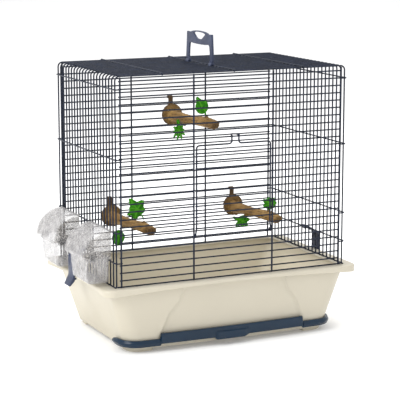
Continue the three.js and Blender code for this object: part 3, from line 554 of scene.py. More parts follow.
def hoop_path(y, left_foot):
    """Up the left side, over the roof and down the right side, with quarter circles at the bends."""
    a = np.linspace(0, math.pi / 2, 9)
    inner = HALF_WIDTH - HOOP_BEND
    left = np.stack([-inner - HOOP_BEND * np.cos(a), 0 * a + y, HOOP_TOP + HOOP_BEND * np.sin(a)], 1)
    right = left[::-1] * [-1, 1, 1]
    return np.concatenate([[[-HALF_WIDTH, y, left_foot]], left, right, [[HALF_WIDTH, y, FLOOR_Z]]])


def make_hoops():
    """The hoops. Those behind the feeders start above their openings and leave a stub below."""
    shell = Shell()
    for i in range(HOOP_GAPS + 1):
        y = hoop_y(i)
        opened = i in OPENED_HOOPS
        foot = RAIL_Z[1] - WIRE_RADIUS if opened else FLOOR_Z
        shell.wire(hoop_path(y, foot), Y, HOOP_RADIUS)
        if opened:
            stub = [[-HALF_WIDTH, y, FLOOR_Z], [-HALF_WIDTH, y, RAIL_Z[0] + WIRE_RADIUS]]
            shell.wire(stub, Y, HOOP_RADIUS)
        for side in (-1, 1):
            for z in [FLOOR_Z, *RAIL_Z]:
                shell.bead((side * (HALF_WIDTH + LAYER / 2), y, z), squash=(0.8, 1, 1))
        for x in (-ROOF_RAIL_SPACING, 0, ROOF_RAIL_SPACING):
            shell.bead((x, y, ROOF_Z + LAYER / 2))
    shown = [n for n in frame["nodes"] if n.startswith(("left_grille", "right_grille", "roof_grille"))]
    shell.piece("hoops", "wire_paint", nodes=shown)


def make_side_rails():
    """Rails along both sides whose ends turn round the corner hoops to the front and back."""
    shell = Shell()
    out = HALF_DEPTH + LAYER + 2 * WIRE_RADIUS + HOOK_GAP
    for side in (-1, 1):
        for z in RAIL_Z:
            ends = [[side * (POSTS[3] - WIRE_RADIUS), out, z], [side * RAIL_X, out, z]]
            path = [[x, -y, h] for x, y, h in ends] + ends[::-1]
            shell.wire(rounded_path(path, 4.6, 8), Z)
        sill = [[side * RAIL_X, s * (HALF_DEPTH + OVERHANG), FLOOR_Z] for s in (-1, 1)]
        shell.wire(sill, Z)
    shell.piece("side_rails", "wire_paint")


def make_roof_rails():
    """Roof rails whose ends turn down a little in front of and behind the end hoops."""
    shell = Shell()
    out = HALF_DEPTH + 2 * WIRE_RADIUS + HOOK_GAP
    for x in (-ROOF_RAIL_SPACING, 0, ROOF_RAIL_SPACING):
        ends = [[x, out, ROOF_RAIL_Z - ROOF_HOOK_DROP], [x, out, ROOF_RAIL_Z]]
        path = [[a, -b, c] for a, b, c in ends] + ends[::-1]
        shell.wire(rounded_path(path, 1.7, 6), X)
    shell.piece("roof_rails", "wire_paint")


def make_panel(name, side, nodes):
    """Level wires with uprights welded outside them. The front's are parted at the doorway."""
    shell = Shell()
    y = side * HALF_DEPTH
    post_y = y + side * LAYER
    rows = [row_z(i) for i in range(ROW_COUNT)]
    for i, z in enumerate(rows):
        parted = side < 0 and DOOR_FIRST < i <= DOOR_LAST
        for left, right in (POSTS[:2], POSTS[2:]) if parted else (POSTS[::3],):
            ends = [[left - OVERHANG, y, z], [right + OVERHANG, y, z]]
            shell.wire(ends, Z, ROW_RADIUS)
    for x in POSTS:
        shell.wire([[x, post_y, FLOOR_Z], [x, post_y, PANEL_TOP]], X, POST_RADIUS)
        for z in [FLOOR_Z, *rows]:
            shell.bead((x, y + side * LAYER / 2, z), squash=(1, 0.8, 1))
    reach = HALF_WIDTH - WIRE_RADIUS - SEAT_GAP
    shell.wire([[-reach, y, FLOOR_Z], [reach, y, FLOOR_Z]], Z)
    shell.piece(name, "wire_paint", nodes=nodes)


# Door

DOOR_HALF = 65.5
DOOR_CORNER = 5.5
EYE_X = 67.3
EYE_RISE = 12.0
LATCH_HALF = 6.2
LATCH_MIDDLE = 2.5
LATCH_RETURN = 1.6
LATCH_GAP = 0.5
EYE_RADIUS = 2 * WIRE_RADIUS + HOOK_GAP
DOOR_Y = -HALF_DEPTH - EYE_RADIUS
DOOR_TOP = row_z(DOOR_LAST) + 1.0
HINGE_Z = row_z(DOOR_FIRST)


def make_door():
    """Frame wire with hinge eyes and a springy catch, and the door's own rows behind it."""
    shell = Shell()
    catch_z = row_z(DOOR_LAST + 1) + 2 * WIRE_RADIUS + LATCH_GAP
    bend = DOOR_TOP - 2 * DOOR_CORNER
    for side in (-1, 1):
        x, jamb, limb = side * EYE_X, side * DOOR_HALF, LATCH_MIDDLE + side * LATCH_HALF
        a = np.linspace(0, 1.75 * math.pi, 25)
        eye = np.stack([-HALF_DEPTH - EYE_RADIUS * np.cos(a), HINGE_Z - EYE_RADIUS * np.sin(a)], 1)
        shell.wire(np.insert(eye, X, x, -1), X)
        low = [(x, HINGE_Z - 0.2), (x, HINGE_Z + 2 * WIRE_RADIUS), (jamb, HINGE_Z + EYE_RISE), (jamb, bend)]
        high = [(jamb, bend), (jamb, DOOR_TOP), (limb, DOOR_TOP), (limb, catch_z)]
        edge = np.concatenate([rounded_path(low, 4.0), rounded_path(high, DOOR_CORNER, 8)[1:]])
        shell.wire(np.insert(edge, Y, DOOR_Y, -1), Y, DOOR_RADIUS)
    back = -HALF_DEPTH + LATCH_RETURN
    left, right = LATCH_MIDDLE - LATCH_HALF, LATCH_MIDDLE + LATCH_HALF
    catch = [[left, DOOR_Y, catch_z - 1], [left - 1.6, DOOR_Y, catch_z + 0.6], [left, back, catch_z + 1.2]]
    catch += [[right - 2, back, catch_z + 0.6], [right, DOOR_Y, catch_z - 1]]
    shell.wire(rounded_path(catch, 2.6, 6), Z)
    shell.bead((right, DOOR_Y, catch_z - 0.4), 1.7, (1, 1, 1))
    for i in range(DOOR_FIRST + 1, DOOR_LAST):
        y, z = DOOR_Y + LAYER, row_z(i)
        ends = [[s * (DOOR_HALF + WIRE_RADIUS), y, z] for s in (-1, 1)]
        shell.wire(ends, Z, ROW_RADIUS)
        for s in (-1, 1):
            shell.bead((s * DOOR_HALF, DOOR_Y + LAYER / 2, z), squash=(1, 0.8, 1))
    shell.piece("door_wires", "wire_paint", "door", ["door_grille"])


# Tray

SIDE_STEPS = (170, 40)
CORNER_STEPS = 14
WALL_TOP = TRAY_TOP - SHELL
FLOOR_TOP = FOOT_HEIGHT + SHELL
WALL_TOP_HALF = (HALF_WIDTH + WALL_REACH[0], HALF_DEPTH + WALL_REACH[1])


def rounded_outline(half_x, half_y, radius, bow=0.0, sides=SIDE_STEPS, corner=CORNER_STEPS):
    """A rounded rectangle that starts at the right end of the back right corner and goes round to
    the left. Its front swells out by bow times one minus the square of x over half_x."""
    signs = np.array([(1, 1), (-1, 1), (-1, -1), (1, -1)])[:, None]
    a = math.pi / 2 * (np.arange(4)[:, None] + np.linspace(0, 1, corner + 1))
    arcs = signs * [half_x - radius, half_y - radius] + radius * np.stack([np.cos(a), np.sin(a)], -1)
    points = []
    for k in range(4):
        t = np.linspace(0, 1, sides[k % 2] + 1)[1:-1, None]
        start, end = arcs[k, -1], arcs[(k + 1) % 4, 0]
        points += [arcs[k], start + (end - start) * t]
    outline = np.concatenate(points)
    front = outline[:, 1] < 0
    outline[front, 1] -= bow * np.clip(1 - (outline[front, 0] / half_x) ** 2, 0, None)
    return outline


def wall_share(z):
    """How far up the tray's wall a height is, from the underside to the rim."""
    return (z - FOOT_HEIGHT) / (WALL_TOP - FOOT_HEIGHT)


def wall_half(z):
    """Half width and half depth of the tray's wall at a height."""
    s = wall_share(z)
    return tuple(b + (t - b) * s for b, t in zip(BASE_HALF, WALL_TOP_HALF))


def tray_ring(half, radius, z, bow=0.0):
    """One ring of the tray; z may be a number or an array along the ring."""
    return np.insert(rounded_outline(*half, radius, bow), Z, z, -1)


def wall_ring(z, inset):
    """A ring of the tray's leaning wall, moved inwards by inset."""
    s = wall_share(z)
    corner = BASE_CORNER + (WALL_CORNER - BASE_CORNER) * s - inset
    bow = FRONT_BOW + (FRONT_BOW_TOP - FRONT_BOW) * s
    return tray_ring([h - inset for h in wall_half(z)], corner, z, bow)


def skirt_low(outline, half):
    """The skirt's lower edge: highest half way along each side and lower towards the corners."""
    share = np.abs(outline[:, 0] * outline[:, 1] / (half[0] * half[1])) ** 2
    return TRAY_TOP - RIM_DROP - RIM_ARCH * share


# Edge of the front's sunk middle field, as height below the wires and distance from the middle
FIELD_EDGE_Z = (-90.0, -84.0, -52.0, -32.0, -12.0, -4.0)
FIELD_EDGE_X = (128.0, 127.0, 114.0, 97.0, 89.0, 86.0)
FIELD_SINK = 1.9
FIELD_STEP = 2.2
FIELD_RIDGE = 1.2


def press_field(ring):
    """Sinks the middle of the front wall by a smooth step with a low ridge beside it, which ends above
    the drawer's band; the field's edge swings outwards on its way down."""
    edge = np.interp(ring[:, 2] - FLOOR_Z, FIELD_EDGE_Z, FIELD_EDGE_X)
    fade = smooth(-2.0, -14.0, ring[:, 2] - FLOOR_Z)
    off = np.abs(ring[:, 0]) - edge
    clear = smooth(BAND_HIGH - 1, BAND_HIGH + 4, ring[:, 2])
    ridge = clear * FIELD_RIDGE * np.exp(-(((off - FIELD_STEP) / 2.0) ** 2))
    sink = fade * (FIELD_SINK * (1 - smooth(-FIELD_STEP, FIELD_STEP, off)) - ridge)
    ring[:, 1] += np.where(ring[:, 1] < -BASE_HALF[1] * 0.8, sink, 0)
    return ring


def tray_skin():
    """Rings from the underside round the foot rim and up the wall, out under the rim, round the skirt's
    edge, over the rim, in to the ledge and down the inside to the floor. The tone is 1 inside, where
    the cream finish paints it paler as painted light."""
    quarter = np.linspace(0, math.pi / 2, 6)
    foot = [(FOOT_HEIGHT, SHELL + 2.0), (FOOT_HEIGHT, SHELL + 0.6), (FOOT_HEIGHT - 0.6, SHELL)]
    foot += [(SKIRT_Z + 0.7, SHELL), (SKIRT_Z, SHELL - 0.7), (SKIRT_Z, 0.9), (SKIRT_Z + 0.3, 0.25)]
    rings = [wall_ring(z, inset) for z, inset in [*foot, (SKIRT_Z + 0.9, 0)]]
    rings += [press_field(wall_ring(z, 0)) for z in np.linspace(SKIRT_Z + 0.9, WALL_TOP - 2, 30)[1:]]
    rings += [wall_ring(WALL_TOP - 0.6, -0.3), wall_ring(WALL_TOP, -1.2)]
    rim = (HALF_WIDTH + RIM_REACH[0], HALF_DEPTH + RIM_REACH[1])
    low = skirt_low(rounded_outline(*rim, RIM_CORNER), rim)
    edge = [(SHELL + 1, WALL_TOP), (SHELL, WALL_TOP - 1), (SHELL, low + 0.6), (SHELL * 0.75, low)]
    edge += [(SHELL * 0.25, low), (0, low + 0.6)]
    edge += [(RIM_ROUND * (1 - math.cos(a)), TRAY_TOP - RIM_ROUND * (1 - math.sin(a))) for a in quarter]
    rings += [tray_ring([h - inset for h in rim], RIM_CORNER - inset, z) for inset, z in edge]
    ledge = [HALF_WIDTH - LEDGE_REACH, HALF_DEPTH - LEDGE_REACH]
    corner = WALL_CORNER - WALL_REACH[0]
    for out, z in ((1.2, TRAY_TOP), (0.35, TRAY_TOP - 0.35), (0, TRAY_TOP - 1.2), (0, WALL_TOP)):
        rings.append(tray_ring([h + out for h in ledge], corner + out, z))
    outside = len(rings)
    rings += [wall_ring(z, SHELL) for z in np.linspace(WALL_TOP, FLOOR_TOP + BASE_FILLET, 20)]
    for a in quarter[1:]:
        z = FLOOR_TOP + BASE_FILLET * (1 - math.sin(a))
        rings.append(wall_ring(z, SHELL + BASE_FILLET * (1 - math.cos(a))))
    # Tone 1 on the inside rings, which the cream finish paints paler as painted light.
    tone = (np.arange(len(rings)) > outside).astype(float)
    return np.stack(rings), tone[:, None]


PAN_HALF = 121.5
PAN_GAP = 0.8
PAN_LOW = FLOOR_TOP + SEAT_GAP
PAN_HEIGHT = 12.5
PAN_BACK = 104.0
PAN_WALL = 2.0
GUIDE = PAN_HALF + PAN_GAP
GUIDE_HEIGHT = 10.0
GUIDE_FRONT = -115.5
STAND_X = (136.0, 176.0)
STAND_Y = (80.0, 113.0)
STAND_CORNER = 21.0


def cut_box(piece, low, high):
    """Cuts a box out of a piece and keeps the result as its mesh."""
    form = bmesh.new()
    bmesh.ops.create_cube(form, size=1.0)
    low, high = ((np.array(end) + SHIFT) * MM for end in (low, high))
    for corner in form.verts:
        corner.co = Vector((low + high) / 2 + (high - low) * np.array(corner.co))
    cutter = placed("cutter", written(form, bpy.data.meshes.new("cutter")))
    step = piece.modifiers.new("slot", "BOOLEAN")
    step.operation = "DIFFERENCE"
    step.solver = "EXACT"
    step.object = cutter
    ready = piece.evaluated_get(bpy.context.evaluated_depsgraph_get())
    piece.data = bpy.data.meshes.new_from_object(ready)
    piece.modifiers.clear()
    bpy.data.objects.remove(cutter)
    assert piece.data.polygons, "the cut left nothing of the piece"
    piece.data.set_sharp_from_angle(angle=math.radians(40))


def make_tray():
    """The tub with its drawer slot, and the four feet and two drawer guides as closed blocks."""
    tray = Shell().tube(*tray_skin()).piece("tray_shell", "cream_plastic", nodes=["tray"], angle=50)
    slot = (GUIDE, -BASE_HALF[1] + 4, PAN_LOW + PAN_HEIGHT + 1.3)
    cut_box(tray, (-GUIDE, -HALF_DEPTH - 20, FLOOR_TOP), slot)
    feet = Shell()
    a = np.linspace(0, math.pi / 2, 7)
    (left, right), (front, back) = STAND_X, STAND_Y
    bend = np.array([right, back]) - STAND_CORNER * (1 - np.stack([np.cos(a), np.sin(a)], 1))
    corners = np.concatenate([[[left, front], [right, front]], bend, [[left, back]]])
    for sx in (-1, 1):
        for sy in (-1, 1):
            feet.slab(closed_path(corners * [sx, sy], 2.5, 4), 0.0, FLOOR_TOP - 1, 0.9, Z)
        rail = [[GUIDE, GUIDE_FRONT], [GUIDE + 2, GUIDE_FRONT], [GUIDE + 2, PAN_BACK], [GUIDE, PAN_BACK]]
        outline = closed_path(np.array(rail) * [sx, 1], 0.6, 3)
        feet.slab(outline, FLOOR_TOP - 1.2, FLOOR_TOP + GUIDE_HEIGHT, 0.4, Z)
    feet.piece("tray_feet_and_guides", "cream_plastic")


# Drawer

BAND = [h + BAND_GAP for h in wall_half(BAND_HIGH)]
WING = [h + BAND_GAP for h in wall_half(WING_HIGH)]
PULL = (-35.0, 29.0)
PULL_REACH = 4.0
PULL_DROP = 3.0
PULL_TOP = 25.0
STEP_GROOVE = 1.5
BAND_ROUND = 2.0


def make_pan():
    """A shallow pan: rounded outlines whose front half is stretched to the band's bowed line."""

    def ring(inset, z):
        half_y = (PAN_BACK + BAND[1]) / 2 - inset
        outline = rounded_outline(PAN_HALF - inset, half_y, 6 - inset / 2, 0, (40, 24), 6)
        middle = (PAN_BACK - BAND[1]) / 2
        forward = np.clip(-outline[:, 1] / half_y, 0, 1)
        swell = FRONT_BOW * (1 - (outline[:, 0] / BAND[0]) ** 2) * forward
        return np.column_stack([outline[:, 0], outline[:, 1] + middle - swell + 0.3, 0 * swell + z])

    top = PAN_LOW + PAN_HEIGHT
    floor = PAN_LOW + PAN_WALL
    steps = [(1.5, PAN_LOW), (0.5, PAN_LOW + 0.5), (0, PAN_LOW + 1.5), (0, top - 0.5), (0.5, top)]
    steps += [(PAN_WALL - 0.5, top), (PAN_WALL, top - 0.5), (PAN_WALL, floor + 2.5)]
    steps += [(PAN_WALL + 0.8, floor + 0.8), (PAN_WALL + 2.5, floor)]
    shell = Shell().tube(np.stack([ring(*step) for step in steps]))
    shell.piece("drawer_pan_moulded", "cream_plastic", "drawer", ["drawer_pan"])


def wrap_places():
    """Places along the front, closer together at the steps and at the pull's ends."""
    reach = BAND[0] - BASE_CORNER
    fine = [np.linspace(e - 5, e + 5, 17) for e in (-BAND_HALF, PULL[0], PULL[1], BAND_HALF)]
    return np.unique(np.concatenate([np.linspace(-reach, reach, 61), *fine]).round(3))


def wrapped(half_x, half_y, radius, places):
    """From the left wing's end round the front left corner, along the front at the given places and
    round to the right wing's end, with the bow of the front added."""
    a = np.linspace(0, math.pi / 2, 16)[:-1]
    side = np.linspace(-WING_BACK, radius - half_y, 5)[:-1]
    x = np.concatenate([0 * side - half_x, -(half_x - radius) - radius * np.cos(a)])
    y = np.concatenate([side, -(half_y - radius) - radius * np.sin(a)])
    x = np.concatenate([x, places, -x[::-1]])
    y = np.concatenate([y, 0 * places - half_y, y[::-1]])
    return np.stack([x, y - FRONT_BOW * np.clip(1 - (x / half_x) ** 2, 0, None)], 1)


def make_band():
    """A rounded bar along the wrapped line. Its height steps down at both ends of its middle part,
    a groove marks each step, and the finger pull swells out of its lower half."""
    t = BAND_THICKNESS
    places = wrap_places()
    inner = wrapped(*WING, BASE_CORNER, places)
    outer = wrapped(WING[0] + t, WING[1] + t, BASE_CORNER + t, places)
    x = inner[:, 0]
    tall = 1 - smooth(BAND_HALF - 0.8, BAND_HALF + 0.8, np.abs(x))
    behind = inner[:, 1] + WING[1] - BASE_CORNER + 6
    flare = WING_FLARE * smooth(-6, 34, behind)
    inner[:, 1] -= (BAND[1] - WING[1]) * tall
    outer[:, 1] -= (BAND[1] - WING[1]) * tall
    outer[:, 0] += np.sign(x) * flare
    low = WING_LOW + (BAND_LOW - WING_LOW) * tall
    high = WING_HIGH + (BAND_HIGH - WING_HIGH) * tall
    pull = smooth(PULL[0], PULL[0] + 3.2, x) * (1 - smooth(PULL[1] - 14, PULL[1], x))
    low = low - PULL_DROP * pull
    gone = np.arange(len(x))
    end = np.maximum(np.sqrt(1 - np.clip(1 - np.minimum(gone, gone[::-1]) / 3.5, 0, 1) ** 2), 0.12)

    r = BAND_ROUND
    quarter = np.linspace(0, math.pi / 2, 6)
    out, rise = r * np.sin(quarter), r * (1 - np.cos(quarter))
    up = np.linspace(0, 1, 26)[1:-1]
    across = np.concatenate([[0.0, 0.4, 2.0], t - r + out, 0 * up + t, t - rise, [2.0, 0.4, 0.0]])
    share = np.concatenate([[0, 0, 0], 0 * quarter, up, 0 * quarter + 1, [1, 1, 1]])
    lift = np.concatenate([[0.4, 0, 0], rise, 0 * up, out - r, [0, 0, -0.4]])
    lift = lift + np.where((share > 0) & (share < 1), r * (1 - 2 * share), 0)
    middle = (low + high) / 2
    tallness = (high - low) * end
    z = (middle - tallness / 2)[:, None] + share[None] * tallness[:, None] + lift[None] * end[:, None]
    crown = 1.5 * (2 * share - 1) ** 2 * smooth(t * 0.5, t, across)
    across = across[None] - crown[None] * (1 - tall[:, None])
    u = (0.5 + (across / t - 0.5) * end[:, None])[..., None]
    grid = inner[:, None] * (1 - u) + outer[:, None] * u
    facing = smooth(t * 0.5, t - 0.5, across)
    proud = PULL_REACH * pull[:, None] * (1 - smooth(PULL_TOP - 2.2, PULL_TOP, z)) * facing
    groove = STEP_GROOVE * (1 - smooth(0.4, 1.6, np.abs(np.abs(x) - BAND_HALF)))[:, None] * facing
    shell = Shell().tube(np.stack([grid[..., 0], grid[..., 1] - proud + groove, z], -1))
    shell.piece("drawer_band", "blue_plastic", "drawer", ["drawer_front"], angle=50)


# Carry handle

HANDLE_EYES = (38.65, 48.15)
HANDLE_FACE = 1.6
HANDLE_EYE_RADIUS = 3.9
HANDLE_BORE = 1.45


def handle_strip(one, other):
    """A flat strip between two lines with as many points, with its mirror image. Drawn in Y and Z."""
    one, other = (np.concatenate([line, (line * [-1, 1])[-2::-1]]) for line in (one, other))
    t = np.linspace(0, 1, 3)[:, None, None]
    return one * (1 - t) + other * t


def crown(half, low, high, steps=9):
    """A flat arch from the side to the middle, as half times a cosine and a rise times a sine."""
    a = np.linspace(0, math.pi / 2, steps)
    return np.stack([half * np.cos(a), low + (high - low) * np.sin(a)], 1)


def make_handle():
    """A flat plate with a hanging hole, as one strip above the hole and one below that join beside
    it, given its thickness and rounded edges by modifiers, and two eyes turned round the rail."""
    axle = ROOF_RAIL_Z
    up = np.array([[48.15, 2.9], [48.6, 5], [50.6, 7], [49.4, 22], [48.0, 36], [47.2, 46.4]])
    ear = rounded_path([[47.2, 46.4], [46.9, 49.2], [44, 49], [32, 48.4]], 1.6, 3)
    outer = np.concatenate([up, ear[1:], crown(32, 48.4, 52.4)[1:]])
    rise = np.array([[38.65, 2.9], [39.2, 5], [41.1, 7], [39.9, 20], [38.4, 29], [35.4, 31.6]])
    inner_ear = np.linspace([34.5, 31.8], [28, 31.4], len(ear) - 1)
    inner = np.concatenate([rise, inner_ear, crown(28, 31.4, 30.3)[1:]])
    middle = (outer + inner) / 2
    hole_top, hole_low = middle.copy(), middle.copy()
    start = len(up) + len(ear) - 2
    hole_top[start:] = crown(22.4, 47.5, 50.4)
    foot = rounded_path([[22.4, 47.5], [9.5, 39.2], [0, 38.8]], 3.0, 6)
    hole_low[start:] = foot[np.linspace(0, len(foot) - 1, 9).round().astype(int)]
    form = bmesh.new()
    for one, other in ((outer, hole_top), (hole_low, inner)):
        strip = handle_strip(one, other)
        rows, columns = strip.shape[:2]
        points = np.insert(strip, X, 0, -1) + [0, 0, axle]
        corners = [form.verts.new(p) for p in ((points.reshape(-1, 3) + SHIFT) * MM)]
        for face in grid_faces(rows, columns, wrap=False):
            form.faces.new([corners[i] for i in face])
    bmesh.ops.remove_doubles(form, verts=form.verts, dist=1e-6)
    bmesh.ops.recalc_face_normals(form, faces=form.faces)
    mesh = written(form, bpy.data.meshes.new("handle_plate"))
    plate = finished("handle_plate", mesh, "slate_plastic", "handle", ["carry_handle"], 40)
    thick = plate.modifiers.new("thickness", "SOLIDIFY")
    thick.thickness = 2 * HANDLE_FACE * MM
    thick.offset = 0
    edge = plate.modifiers.new("edges", "BEVEL")
    edge.width = 0.7 * MM
    edge.segments = 3
    edge.limit_method = "ANGLE"
    shell = Shell()
    low, high = HANDLE_EYES
    r, bore = HANDLE_EYE_RADIUS, HANDLE_BORE
    profile = [(low, bore), (low, r - 0.5), (low + 0.5, r), (high - 0.5, r), (high, r - 0.5), (high, bore)]
    for side in (-1, 1):
        shell.loop(turned([(side * y, size) for y, size in profile], 0, axle))
    shell.piece("handle_eyes", "slate_plastic", "handle")


# Tray clips

CLIP_Y = 6.2
CLIP_HALF = 12.0
CLIP_BARREL = (4.75, 3.4, 1.4)
CLIP_ARM = (
    (205.4, 151.7), (205.4, 149.3), (226.6, 137.5), (226.6, 103.0), (226.6, 99.4), (234.1, 91.4),
    (237.1, 91.4), (229.0, 106.6), (229.0, 139.9), (207.8, 151.7)
)
CLIP_ROUNDING = (0.6, 0.6, 3.0, 0.5, 1.5, 1.0, 1.0, 4.0, 3.0, 1.0)
CLIP_TOOTH = ((228.0, 103.0), (222.0, 103.0), (222.0, 101.0), (226.8, 99.4), (228.0, 99.4))
CLIP_RIB = ((211.5, 148.6), (226.9, 139.6), (226.9, 128.0), (225.0, 136.8))
CLIP_TOOTH_HALF = 8.0
CLIP_RIB_PLACES = (-8.0, 8.0)
CLIP_RIB_HALF = 0.8


def clip_plate(shell, side, corners, rounding, steps, middle, half, rim):
    """A flat part of a clip, drawn in side view and carried along Y, with rounded rims."""
    outline = closed_path(np.array(corners) * [side, 1], rounding, steps)
    shell.slab(outline, middle - half, middle + half, rim, Y)


def make_clips():
    """Each clip's bent arm, its narrower tooth, the barrel on its wire and two ribs."""
    half, r, bore = CLIP_BARREL
    ends = [(-half, bore), (-half, r - 0.4), (0.4 - half, r)]
    ends += [(-y, size) for y, size in ends[::-1]]
    for name, side in (("left_clip", -1), ("right_clip", 1)):
        shell = Shell()
        clip_plate(shell, side, CLIP_ARM, CLIP_ROUNDING, 5, CLIP_Y, CLIP_HALF, 0.5)
        clip_plate(shell, side, CLIP_TOOTH, 0.5, 4, CLIP_Y, CLIP_TOOTH_HALF, 0.4)
        shell.loop(turned([(CLIP_Y + y, size) for y, size in ends], side * RAIL_X, RAIL_Z[0], 20))
        for rib in CLIP_RIB_PLACES:
            clip_plate(shell, side, CLIP_RIB, 0.5, 3, CLIP_Y + rib, CLIP_RIB_HALF, 0.3)
        shell.piece(name + "_moulded", "slate_plastic", name, [name])


# Feeders

FEEDER_BACK = -RAIL_X - WIRE_RADIUS - SEAT_GAP
CUP_LOW = 116.0
CUP_TOP = 158.0
CUP_BACK_TOP = 150.0
CUP_REACH = (36.0, 40.0)
CUP_HALF = (37.4, 39.8)
CUP_WALL = 2.0
CUP_CORNER = 8.0
EAR = (36.2, 39.8)
EAR_FOOT = 152.5
CHEEK_TOP = 163.0
HOOK_TOP = 153.9
HOOK_HALF = 29.8
PIN_X = -236.35
PIN_Z = 159.0
HOOD_HALF = 42.0
HOOD_REACH = 47.0
HOOD_TOP = 202.6
HOOD_WALL = 1.8
HOOD_EDGE = 5.0
RIB_PITCH = 5.6
RIB_REACH = 15.5
FEEDERS = {"front": (hoop_y(1) + hoop_y(8)) / 2, "rear": (hoop_y(12) + hoop_y(19)) / 2}


def cup_ring(y, share, inset):
    """A ring of the cup. Its wall on the cage side is lower, and share runs from its foot to its top."""
    reach = CUP_REACH[0] + (CUP_REACH[1] - CUP_REACH[0]) * share
    half = CUP_HALF[0] + (CUP_HALF[1] - CUP_HALF[0]) * share - inset
    near, far = FEEDER_BACK - inset, FEEDER_BACK - reach + inset
    corner = max(CUP_CORNER - inset, 1.0)
    outline = rounded_outline((near - far) / 2, half, corner, 0, (14, 26), 10)
    x = outline[:, 0] + (near + far) / 2
    gap = 1 - smooth(half - CUP_CORNER - 2, half - CUP_CORNER + 1, np.abs(outline[:, 1]))
    gap = gap * smooth(-CUP_CORNER - 2, -CUP_CORNER + 4, x - FEEDER_BACK)
    top = CUP_TOP - (CUP_TOP - CUP_BACK_TOP) * gap
    return np.column_stack([x, y + outline[:, 1], CUP_LOW + (top - CUP_LOW) * share])


def lug(half, rise, start, steps, foot):
    """Half an ellipse round the hinge pin from the start angle on, closed by a level edge."""
    a = start + np.linspace(0, math.pi, steps)
    bend = np.stack([PIN_X + half * np.cos(a), PIN_Z + rise * np.sin(a)], 1)
    way = math.copysign(half, bend[-1, 0] - PIN_X)
    return np.concatenate([bend, [[PIN_X + way, foot], [PIN_X - way, foot]]])


def make_cup(name, y):
    """The cup's rings up the outside and down the inside, its hook over the rail, and the two ears
    with the headed pins that the hood turns on."""
    shell = Shell()
    steps = [(0.0, 4.0), (0.015, 1.8), (0.05, 0.5), (0.1, 0.0), (0.5, 0.0), (0.93, 0.0), (0.95, -0.35)]
    steps += [(0.985, -0.35), (1.0, 0.1), (1.0, 0.7), (1.0, 1.4), (0.98, CUP_WALL), (0.5, CUP_WALL)]
    steps += [(0.16, CUP_WALL), (0.1, CUP_WALL + 0.4), (0.06, CUP_WALL + 1.6), (0.045, CUP_WALL + 4.0)]
    shell.tube(np.stack([cup_ring(y, share, inset) for share, inset in steps]), 0.05)
    near = -HALF_WIDTH + WIRE_RADIUS + SEAT_GAP
    tip, back = near + 1.2, FEEDER_BACK - CUP_WALL
    hook = [(back, 148), (FEEDER_BACK, 148), (FEEDER_BACK, HOOK_TOP - 2), (near, HOOK_TOP - 2)]
    hook += [(near, 148.9), (tip, 148.9), (tip, HOOK_TOP), (back, HOOK_TOP)]
    outline = closed_path(hook, (0.3, 0.3, 0.5, 0.5, 0.4, 0.4, 1.4, 0.9), 4)
    shell.slab(outline, y - HOOK_HALF, y + HOOK_HALF, 0.4, Y)
    pin = [(EAR[0], 0.1), (36.3, 3.0), (42.35, 3.0), (42.35, 5.2), (42.7, 5.5), (43.4, 5.3)]
    pin += [(43.8, 4.2), (43.95, 2.4), (43.75, 1.4), (43.75, 0.1)]
    for s in (-1, 1):
        shell.slab(lug(5.5, 5.0, 0, 13, EAR_FOOT), y + s * EAR[0], y + s * EAR[1], 0.4, Y)
        shell.tube(turned([(y + s * place, size) for place, size in pin], PIN_X, PIN_Z))
    shell.piece(name + "_cup_clear", "clear_plastic", "cage", [name + "_feeder_cup"])


def hood_skin(y, inset):
    """One face of the hood and its tone. A section across it runs from one end wall's middle out to
    the rounded edge, over the dome and back; it is swept from the top at the back down to the front
    lip. The tone is 1 on the grained end walls and 0.06 on the dome."""
    edge = HOOD_EDGE - inset * 0.5
    half = HOOD_HALF - inset
    reach, rise = HOOD_REACH - inset, HOOD_TOP - CUP_TOP - inset
    bend = np.linspace(0, math.pi / 2, 7)[1:]
    f = edge / reach
    over = np.linspace(-(half - edge), half - edge, 41)
    left_y = np.concatenate([[-half] * 7, -half + edge * (1 - np.cos(bend))])
    left_r = np.concatenate([np.linspace(0, 1 - f, 7), 1 - f + f * np.sin(bend)])
    across = np.concatenate([left_y[:-1], over, -left_y[-2::-1]])
    out = np.concatenate([left_r[:-1], 0 * over + 1, left_r[-2::-1]])[None]
    a = np.linspace(0, math.pi / 2, 33)[:, None]
    ribs = np.clip(np.cos(across * 2 * math.pi / RIB_PITCH), 0, 1) * (np.abs(across) < RIB_REACH)
    window = smooth(0.30, 0.45, a) * (1 - smooth(0.95, 1.15, a))
    lip = 1.0 - 0.018 * (1 - smooth(1.3, 1.5, a)) * (out > 0.98)
    swell = (0.016 * ribs[None] * window) * (out > 0.98)
    size = out * (lip + (swell if inset == 0 else 0))
    x = FEEDER_BACK - reach * size * np.sin(a)
    z = CUP_TOP + rise * size * np.cos(a)
    frost = (1 - smooth(0.9, 1.0, out)) * smooth(half - 5.0, half - 1.0, np.abs(across))[None]
    return np.stack([x, y + across[None] + 0 * x, z], -1), 0.06 + 0.94 * frost + 0 * x


